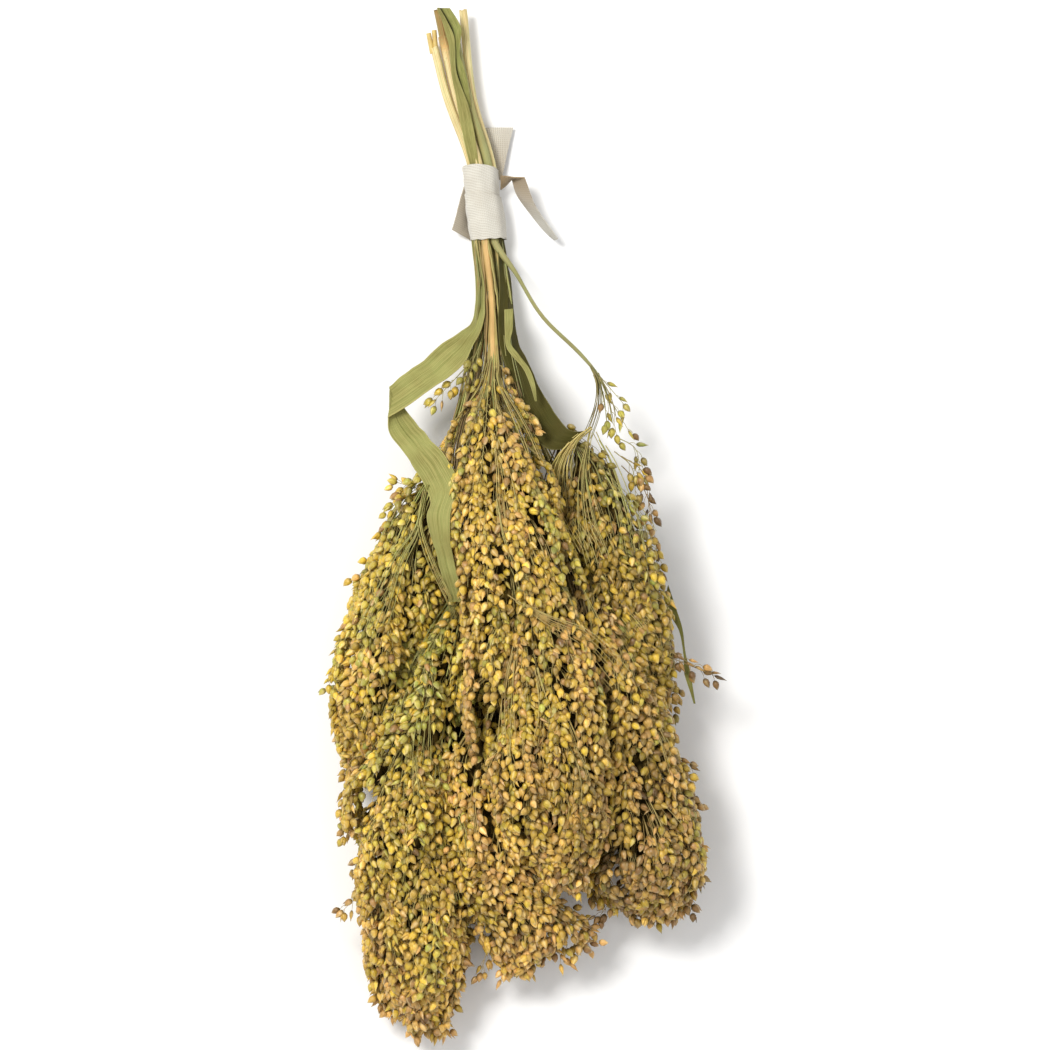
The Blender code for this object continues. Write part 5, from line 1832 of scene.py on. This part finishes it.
# The panicles. A spray's numbers are its root, tip, count of spikelets, hue and bow. A comb's are its line,
# how many branches it has, its spread, hue, shade, radius and lift.
PANICLES = [
    Panicle(
        "front", 101.4, 217.6, [(-14, 79, 28)],
        [
            (-14, 66, 37, 1.8, 1.8), (-15, 50, 44, 13, 9), (-13, 34, 51, 22, 14), (-9, 5, 57, 23, 18),
            (-4, -20, 61, 25, 20), (1, -50, 63, 30, 22), (5, -80, 62, 32, 23), (9, -110, 59, 32, 23),
            (13, -133, 53, 26, 19), (17, -151, 46, 4, 4),
        ],
        hues=(0.45, 0.68), seed=11, cut_shift=-2.0, peduncle=1.45, shade=0.47, first_branches=30,
        followers=8, open_front=0.75,
        culm_hues=[(217, 0.97), (205, 0.97), (198, 0.42), (130, 0.5), (118, 0.68), (60, 0.66)],
        combs=[
            Comb(((-7.6, -29.8), (8, -40), (24.8, -49.1), (39.5, -65.9)), 8, (0.8, 7.0), 0.5),
            Comb(((20.6, -17.6), (24.5, -28), (31, -41.6)), 2, (1.0, 1.6), 0.2, shade=0.8),
            Comb(((-4.6, -51.2), (-6.5, -70), (-5.9, -91)), 9, (1.5, 6.0), 0.55),
            Comb(((-12, 10), (-8, -8), (2, -30)), 6, (0.8, 3.0), 0.4),
            Comb(((0, 0), (4, -14), (12, -27)), 4, (0.6, 3.0), 0.45, shade=0.75),
            # The combs with a shade of 0.02 to 0.06, laid under the surface, are strands painted dark as the
            # shade in the gaps between the heads.
            Comb(((-16, 98), (-16.5, 86), (-17.5, 74), (-20, 58)), 12, (2.4, 7.0), 0.8, 0.02, 0.55, -2.5),
            Comb(((-19, 104), (-19.5, 88), (-21, 74), (-24, 56)), 6, (1.2, 4.0), 0.12, 0.3, 0.42, -0.6),
            Comb(((-12, 96), (-11.5, 82), (-10, 68), (-6, 52)), 12, (1.6, 5.0), 0.75, 0.02, 0.5, -2.5),
            Comb(((-17.4, 86), (-17.8, 74), (-18.4, 60)), 8, (1.0, 2.6), 0.7, 0.04, 0.6, -3.0),
            Comb(((-10, 102), (-9, 88), (-8, 72), (-4, 52)), 5, (1.0, 4.0), 0.15, 0.35, 0.42, -0.6),
            Comb(((-20, 60), (-25, 42), (-27.5, 24), (-27, 4)), 12, (2.0, 4.0), 0.7, 0.06, 0.6, -4.0),
            Comb(((-14, 40), (-10, 22), (-8, 4)), 5, (1.0, 5.0), 0.45, shade=0.7),
            Comb(((4, -60), (8, -80), (6, -102)), 6, (1.0, 6.0), 0.5, shade=0.7),
            Comb(((16, -78), (22, -96), (22, -116)), 5, (0.8, 5.0), 0.5, shade=0.7),
        ],
        sprays=[
            Spray((-19, 76, 34), (-25, 62, 39), 8, 0.22), Spray((-17, 70, 38), (-20, 54, 43), 9, 0.28),
            Spray((-13, 66, 41), (-15, 50, 46), 8, 0.34), Spray((-8, 60, 43), (-3, 44, 48), 7, 0.4),
            Spray((-17, 60, 45), (-22, 42, 60), 11, 0.35), Spray((-16, 56, 48), (-17, 36, 63), 11, 0.42),
            Spray((-18, 54, 50), (-25, 32, 65), 12, 0.45), Spray((-19, 46, 57), (-22, 24, 68), 12, 0.5),
            Spray((-21, 42, 60), (-28, 16, 67), 12, 0.55), Spray((-17, 40, 62), (-19, 17, 71), 12, 0.5),
            Spray((-24, 32, 65), (-28, 6, 68), 12, 0.6), Spray((-20, 30, 66), (-23, 8, 70), 11, 0.6),
            Spray((-13, 52, 50), (-12, 34, 64), 10, 0.45),
        ],
    ),
    Panicle(
        "back", 256.0, 207.0, [],
        [
            (-11, 52, 11, 1.8, 1.8), (-8, 20, 14, 20, 14), (-3, -30, 17, 31, 22), (3, -80, 17, 35, 23),
            (12, -116, 16, 31, 21), (20, -138, 15, 16, 13), (24, -150, 14, 4, 4),
        ],
        hues=(0.6, 0.85), seed=12, culm_hue=0.6, shade=0.42, density=0.62, first_branches=8,
    ),
    Panicle(
        "left", 153.0, 202.0, [(-22, 72, 24)],
        [
            (-29, 38, 31, 1.8, 1.8), (-41, 8, 32, 16, 22), (-51, -28, 30, 20, 28), (-58, -62, 28, 20, 28),
            (-64, -86, 26, 15, 21), (-70, -102, 24, 3, 4),
        ],
        hues=(0.22, 0.6), seed=13, slender=0.26, culm_shade=0.68, shade=0.6, first_branches=26, cut_shift=1.6,
        slivers=[((-38.2, 199, 12.8), (-38.9, 208.9, 12.8)), ((-39.6, 199, 12.6), (-41.3, 207.6, 12.6))],
        culm_hues=[(202, 0.38), (128, 0.38), (112, 0.15), (40, 0.1)],
        combs=[
            Comb(
                ((-41.2, 16), (-45.4, -2.9), (-52.9, -15.5), (-59.2, -32.3), (-66.4, -49.1)),
                8, (0.6, 6.0), 0.15,
            ),
            Comb(
                ((-42.4, 13.9), (-44.5, 1.3), (-42.4, -9.2), (-38.2, -19.7), (-31.9, -32.3), (-29.8, -40.7)),
                7, (0.8, 1.7), 0.3, shade=0.75,
            ),
        ],
        sprays=[
            Spray((-52, 4, 33), (-61, -4, 33), 5, 0.4), Spray((-56, -8, 33), (-65, -15, 33), 6, 0.25),
            Spray((-60, -16, 32), (-70, -22, 33), 3, 0.5), Spray((-25, 66, 33), (-38, 52, 36), 8, 0.3),
            Spray((-24, 50, 38), (-32, 26, 44), 10, 0.3), Spray((-62, -40, 31), (-77, -50, 33), 6, 0.3),
            Spray((-43, 14, 38), (-54, 17, 41), 6, 0.4), Spray((-66, -66, 30), (-76, -82, 30), 8, 0.78),
            Spray((-66, -74, 28), (-77, -90, 28), 8, 0.78),
        ],
    ),
    Panicle(
        "low_left", 204.6, 205.0, [(-20, 64, 20), (-23, 20, 31)],
        [
            (-24, -18, 34, 1.8, 1.8), (-30, -48, 34, 19, 27), (-40, -91, 33, 30, 35),
            (-45, -133, 32, 28, 34), (-44, -168, 27, 22, 25), (-44, -185, 24, 20, 20),
            (-45, -200, 20, 16, 15), (-42, -213, 17, 5, 5),
        ],
        hues=(0.16, 0.76), seed=14, slender=0.3, first_branches=20,
        culm_hues=[(205, 0.42), (125, 0.5), (108, 0.72), (60, 0.7)], cut_shift=1.0, shade=0.54,
        combs=[
            Comb(((-31.9, -116.3), (-32.8, -141.5), (-29.8, -158.3)), 7, (3.0, 2.2), 0.12, shade=0.62),
            Comb(((-29.8, -118.4), (-26, -128), (-23.5, -139.4)), 4, (0.8, 1.6), 0.12, shade=0.7),
            Comb(((-68, -94), (-73, -98), (-73.9, -108), (-74.8, -116.3), (-72, -123)), 2, (0.4, 0.6), 0.3),
            Comb(((-38, -60), (-42, -80), (-44, -100)), 7, (1.5, 5.0), 0.2),
        ],
        sprays=[
            Spray((-52, -190, 22), (-62, -201, 20), 6, 0.75), Spray((-50, -196, 21), (-57, -206, 19), 6),
            Spray((-42, -200, 19), (-34, -214, 17), 7, 0.75), Spray((-45, -202, 19), (-47, -214, 17), 6),
            Spray((-60, -146, 30), (-77, -163, 33), 8, 0.7), Spray((-44, -200, 19), (-42, -214, 17), 6),
            Spray((-60, -98, 34), (-76, -112, 35), 7, 0.6, (-5, 6, 2)),
            Spray((-60, -114, 34), (-75, -127, 34), 6, 0.6),
            Spray((-54, -156, 28), (-62, -170, 25), 4, 0.6), Spray((-56, -168, 26), (-63, -180, 24), 6),
            Spray((-40, -190, 22), (-31, -203, 20), 6),
        ],
    ),
    Panicle(
        "low_centre", 0.0, 214.0, [(-14, 64, 24), (-15, 20, 34)],
        [
            (-16, -46, 38, 1.8, 1.8), (-17, -91, 40, 19, 28), (-15, -129, 38, 24, 29),
            (-14, -150, 34, 20, 25), (-6, -163, 29, 22, 20), (1, -172, 25, 24, 16),
            (-1, -180, 22, 17, 12), (-3, -187, 20, 3, 3),
        ],
        hues=(0.45, 0.76), seed=15, in_ring=False, first_branches=14, shade=0.57,
        culm_hues=[(214, 0.42), (125, 0.4), (108, 0.2)],
        sprays=[
            Spray((8, -176, 24), (16, -184, 22), 6, 0.8), Spray((-8, -182, 22), (-9, -190, 21), 5),
            Spray((20, -168, 26), (27, -171, 25), 5, 0.85), Spray((16, -172, 25), (27, -177, 23), 8, 0.85),
            Spray((-16, -178, 24), (-19, -190, 22), 5),
        ],
    ),
    Panicle(
        "right", 307.2, 206.0, [(-6, 64, 16), (8, 30, 27)],
        [
            (21, 2, 34, 1.8, 1.8), (31, -32, 36, 19, 30), (38, -70, 35, 21, 34), (42, -94, 34, 18, 34),
            (47, -116, 34, 21, 34), (50, -140, 32, 22, 31), (50, -153, 28, 22, 23), (51, -160, 24, 15, 14),
            (52, -165, 21, 3, 3),
        ],
        # Its husks are painted darker, as the shade that the right side of the bunch lies in.
        hues=(0.52, 0.76), seed=16, shade=0.38, cut_shift=-1.5,
        culm_hues=[(206, 0.3), (125, 0.25), (110, 0.05)],
        sprays=[
            Spray((52, -74, 38), (60, -88, 38), 6, 0.75), Spray((60, -120, 36), (70, -134, 34), 6, 0.8),
            Spray((60, -138, 32), (73, -150, 30), 7, 0.8), Spray((54, -150, 28), (63, -163, 26), 7, 0.85),
            Spray((58, -148, 28), (70, -161, 27), 7, 0.85), Spray((38, -156, 28), (31, -166, 26), 6, 0.88),
            Spray((58, -96, 36), (69, -102, 36), 5, 0.8), Spray((60, -108, 36), (71, -118, 35), 6, 0.78),
            Spray((62, -134, 34), (71, -146, 33), 6, 0.8),
        ],
    ),
    Panicle(
        "upper_right", 358.6, 218.0, [(-6.5, 78, 15), (-1, 62, 22), (6, 48, 29)],
        [
            (13, 40, 33, 1.8, 1.8), (25, 29, 37, 15, 13), (29, 18, 39, 18, 18), (33, 5, 41, 21, 21),
            (36, -12, 42, 21, 22), (44, -34, 40, 15, 20), (51, -55, 37, 8, 13), (57, -70, 34, 2, 3),
        ],
        # Its husks are painted darker, as the shade that the right side of the bunch lies in.
        hues=(0.34, 0.62), seed=17, slender=0.26, culm_shade=0.72, shade=0.31, first_branches=24,
        loose_side=[(-40, 70), (-32, 60), (-16, 53), (1, 47), (18, 42), (34, 36)],
        culm_hues=[(218, 0.38), (128, 0.36), (112, 0.12), (40, 0.1)],
        combs=[
            Comb(
                ((27.5, 40), (18, 32), (12.5, 22), (13.5, 9), (20.6, -9.2), (33.2, -30.2), (46, -46)),
                18, (0.7, 8.5), 0.4, shade=0.85, radius=0.3, lift=3.4,
            ),
            Comb(
                ((27, 40), (20, 34), (15.5, 22), (17.0, 6), (26, -10)),
                11, (0.6, 7.0), 0.42, shade=0.9, lift=4.2,
            ),
            Comb(((27, 38), (24, 20), (26, 0), (31, -16)), 8, (0.7, 7.0), 0.3),
            # The two combs with a shade of 0.05, laid under the surface, are strands painted dark as the
            # shade in the gap between the heads.
            Comb(((15, 32), (11, 18), (12, 4), (18, -12)), 16, (2.5, 4.5), 0.75, 0.05, 0.42, -3.5),
            Comb(((17, -4), (21, -20), (26, -38)), 14, (4.0, 4.0), 0.75, 0.05, 0.6, -4.0),
            Comb(((29, 38), (36, 24), (42, 4), (45, -12)), 6, (1.0, 5.0), 0.2),
        ],
        sprays=[
            Spray((38, 36, 41), (48, 20, 43), 8, 0.26, (3, 3, 0)),
            Spray((37, 30, 43), (46, 10, 44), 9, 0.4, (3, 3, 0)),
            Spray((40, 24, 43), (55, -12, 42), 9, 0.92, (3, 6, 0)),
            Spray((40, 28, 42), (52, 4, 43), 9, 0.9, (3, 5, 0)),
            Spray((40, 10, 44), (52, -10, 43), 8, 0.5, (2, 2, 0)),
            Spray((44, -2, 43), (56, -20, 42), 8, 0.5, (2, 2, 0)),
            Spray((50, -48, 41), (71, -60, 45), 8, 0.85), Spray((52, -53, 40), (79, -64, 43), 9, 0.88),
        ],
    ),
    Panicle(
        "stray", 50.2, 210.0, [(-4.5, 106, 18), (7, 87, 27)],
        [(23, 71, 33, 0.95, 0.95), (31, 61, 36, 0.85, 0.85), (36, 49, 37, 0.8, 0.8)],
        hues=(0.2, 0.25), seed=18, culm_hue=0.06, culm_shade=0.34, gathered=False, cut_shift=-1.5,
        combs=[
            Comb(((27, 66), (30, 58), (29.5, 48), (25.5, 36)), 8, (0.5, 2.4), 0.3, 0.2, 0.32, 0.8),
            Comb(((30, 63), (34.5, 52), (36, 42)), 5, (0.4, 2.4), 0.3, 0.2, 0.32, 0.8),
        ],
        sprays=[
            Spray((29, 64, 35), (41, 50, 38), 5, 0.22), Spray((31, 61, 36), (34, 43, 40), 5, 0.25),
            Spray((34, 54, 37), (43, 39, 37), 4, 0.22), Spray((35, 51, 37), (38, 37, 40), 4, 0.3),
        ],
    ),
]

# Leaves, as pairs of edge points. The first edge of a pair is the one nearer the photograph's left.
LEFT_LEAF = [
    ((-25.2, 146, 7.3), (-24.0, 146, 13.0)), ((-22.8, 120, 7.3), (-20.6, 120, 14.4)),
    ((-21.4, 100, 10.5), (-17.6, 99, 20.0)), ((-22.6, 88, 16), (-18.4, 84, 27)),
    ((-26, 82, 22), (-22.5, 75, 30)), ((-34.9, 75.2, 28), (-27, 66, 36)),
    ((-47.5, 64.7, 33), (-37.8, 57.5, 39)), ((-53, 61, 34.5), (-47, 51, 40)),
    ((-57.3, 57.5, 36.5), (-57.6, 44.5, 40.5)), ((-48.3, 44.3, 36), (-57.2, 37.5, 38.5)),
    ((-42, 37, 46), (-51, 29, 45)), ((-33, 27, 58.5), (-43.5, 18, 56)), ((-28.3, 17, 66), (-39.5, 9, 62)),
    ((-31.6, 4, 68.5), (-41.4, 1.5, 64.5)), ((-31.4, -9, 68.5), (-38.6, -9.5, 64.5)),
    ((-28.8, -20, 67.5), (-35.6, -19.5, 63.5)), ((-25.8, -32.5, 65), (-31.8, -32.8, 61)),
]
RIGHT_LEAF = [
    ((-14.0, 146, 13.4), (-12.6, 146, 8.0)), ((-12.2, 120, 14.0), (-9.9, 120, 7.6)),
    ((-11.0, 98, 20.5), (-6, 98, 12.0)), ((-10.8, 76, 32), (-3.6, 79, 24.5)),
    ((-7.5, 61, 38.5), (1, 66.5, 33.5)), ((-2.5, 46, 39), (6.5, 54, 38)), ((3.5, 36, 44), (12.5, 45, 42)),
    ((9.0, 31, 47), (17, 39.5, 45.5)), ((15.5, 31.0, 47), (21, 38.2, 45)), ((22, 34, 44), (25, 38.5, 42)),
]
SMALL_LEAF = [
    ((-9.0, 90, 28), (-5.6, 90.4, 26)), ((-8.9, 81, 33.5), (-5.6, 81.5, 32)),
    ((-8.5, 74.1, 38), (-6.5, 75.6, 37)), ((-4.8, 69.0, 41.5), (-2.9, 70.4, 40.5)),
    ((-0.6, 63.7, 44.5), (1.3, 64.9, 43.5)), ((1.9, 57.7, 46.5), (3.8, 58.3, 46)),
    ((3.8, 51.0, 47.5), (4.6, 51.0, 47.5)),
]
TIP_LEAF = [
    ((58.5, -31, 36), (59.8, -26, 37)), ((61.2, -39.5, 36), (63.4, -37, 37)),
    ((64.6, -46, 36.5), (65.8, -45, 37)), ((66.2, -56, 37), (67.3, -56, 37)),
    ((66.6, -63.5, 37), (69.2, -63, 37)), ((70.6, -76, 35), (71.3, -76, 35)),
]
CUT_LEAF = [
    ((-37.6, 217.9, 19.0), (-36.8, 217.9, 19.4)), ((-35.4, 212, 19.0), (-33.8, 212.8, 19.6)),
    ((-33.8, 206, 18.8), (-30.6, 206.5, 19.6)), ((-32.4, 200, 18.4), (-29.9, 200.8, 19.4)),
    ((-31.3, 189.5, 17.8), (-29.3, 190.4, 18.8)), ((-28.8, 176, 17.0), (-24.6, 177.4, 18.2)),
    ((-26.3, 162, 16.2), (-21.4, 163, 17.0)), ((-23.2, 150, 13.4), (-19.6, 150, 15.2)),
    ((-21.6, 144, 12.4), (-18, 144, 14.4)),
]
CUT_FLAP = [
    ((-37.2, 217.9, 18.4), (-32.4, 217.8, 18.8)), ((-34.2, 212.6, 18.2), (-29.2, 213, 18.6)),
    ((-31.6, 207.8, 18.0), (-27.3, 208.8, 18.4)), ((-30.4, 201.6, 17.6), (-27.9, 202.4, 18.2)),
    ((-30.0, 196.4, 17.2), (-28.0, 197.6, 17.8)), ((-29.8, 191.4, 16.9), (-26.4, 193.0, 17.4)),
    ((-27.2, 182.4, 16.4), (-24.2, 184, 16.8)), ((-24.6, 175, 15.8), (-23.4, 176.4, 16.0)),
]
BLADES = [
    Blade("left", LEFT_LEAF, 0.5, 21, hue=0.47, shade=0.46, folds=(8,), root_shade=-0.14, step=1.8),
    # The right leaf is painted very dark: its own darker olive, and painted shade where it lies under the
    # front head.
    Blade("right", RIGHT_LEAF, -0.3, 22, hue=0.03, shade=0.04),
    Blade("small", SMALL_LEAF, 0.3, 23, hue=0.55, shade=0.4, columns=14, ribs=4, waves=0.1,
          ragged=0.1, span=0.25),
    Blade("tip", TIP_LEAF, 0.2, 24, hue=0.2, shade=0.36, columns=12, ribs=3, waves=0.1,
          ragged=0.08, span=0.25),
    Blade("cut", CUT_LEAF, 0.5, 25, hue=0.6, shade=0.38, columns=16, ribs=5, waves=0.3,
          ragged=0.12, span=0.4),
    # The flap's first edge is painted dark, as the shade under the cut leaf's layer.
    Blade("cut_flap", CUT_FLAP, -0.3, 26, hue=0.34, shade=0.45, columns=12, ribs=4, waves=0.2,
          ragged=0.1, painted_inner_shade=-1.0, span=0.3),
]


def finish_piece(piece: Object, node: str) -> Object:
    """Joins a piece to the bunch: attaches it to the body that it rides on, and hides the solid that it
    stands for.
    """
    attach(piece, BODY)
    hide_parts(node)
    return piece


@dataclass
class Bunch:
    """The whole bunch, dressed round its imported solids."""

    frame: dict
    plan: Tassels = field(default_factory=Tassels)

    def dress_panicles(self, effects: SharedEffects) -> None:
        """Dresses every panicle: culm, core, branches and spikelets."""
        husk, stalk = HuskFinish().material(effects), StalkFinish().material(effects)
        inner, straw = CoreFinish().material(), CulmFinish().material(effects)
        forms = {
            panicle.name: HeadForm(panicle, self.frame["nodes"]["panicle_" + panicle.name])
            for panicle in PANICLES if panicle.full()
        }
        canopy = Canopy(list(self.frame["nodes"].values()))
        for panicle in PANICLES:
            node = "panicle_" + panicle.name
            finish_piece(Culm(panicle).build().piece("culm_" + panicle.name, straw), node)
            others = [form for name, form in forms.items() if name != panicle.name]
            head = SeedHead(panicle, forms.get(panicle.name), others, self.plan)
            head.grow(canopy)
            if head.form:
                finish_piece(head.core().piece("core_" + panicle.name, inner), node)
            crops = ((head.stalks, "branches_", stalk), (head.spikelets, "spikelets_", husk))
            for crop, name, finish in crops:
                stock = MeshStock()
                crop.pour(stock)
                finish_piece(stock.piece(name + panicle.name, finish), node)
            LOG.info("%s: %d spikelets", node, head.spikelets.total())

    def dress_leaves(self, effects: SharedEffects) -> None:
        """Dresses the leaves."""
        finish = BladeFinish().material(effects)
        for blade in BLADES:
            made = blade.build().piece("blade_" + blade.name, finish, crease=40.0)
            finish_piece(made, "leaf_" + blade.name.split("_")[0])

    def dress_tape(self, effects: SharedEffects) -> None:
        tape = Tape().build().piece("tape", CottonFinish().material(effects), crease=50.0)
        finish_piece(tape, "tape_tie")


def main() -> None:
    """Dresses the bunch and sets the studio."""
    logging.basicConfig(level=logging.INFO, format="%(message)s")
    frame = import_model()
    effects = SharedEffects()
    bunch = Bunch(frame)
    bunch.dress_panicles(effects)
    bunch.dress_leaves(effects)
    bunch.dress_tape(effects)
    Studio().build()
    bpy.context.view_layer.update()


if __name__ == "__main__":
    main()
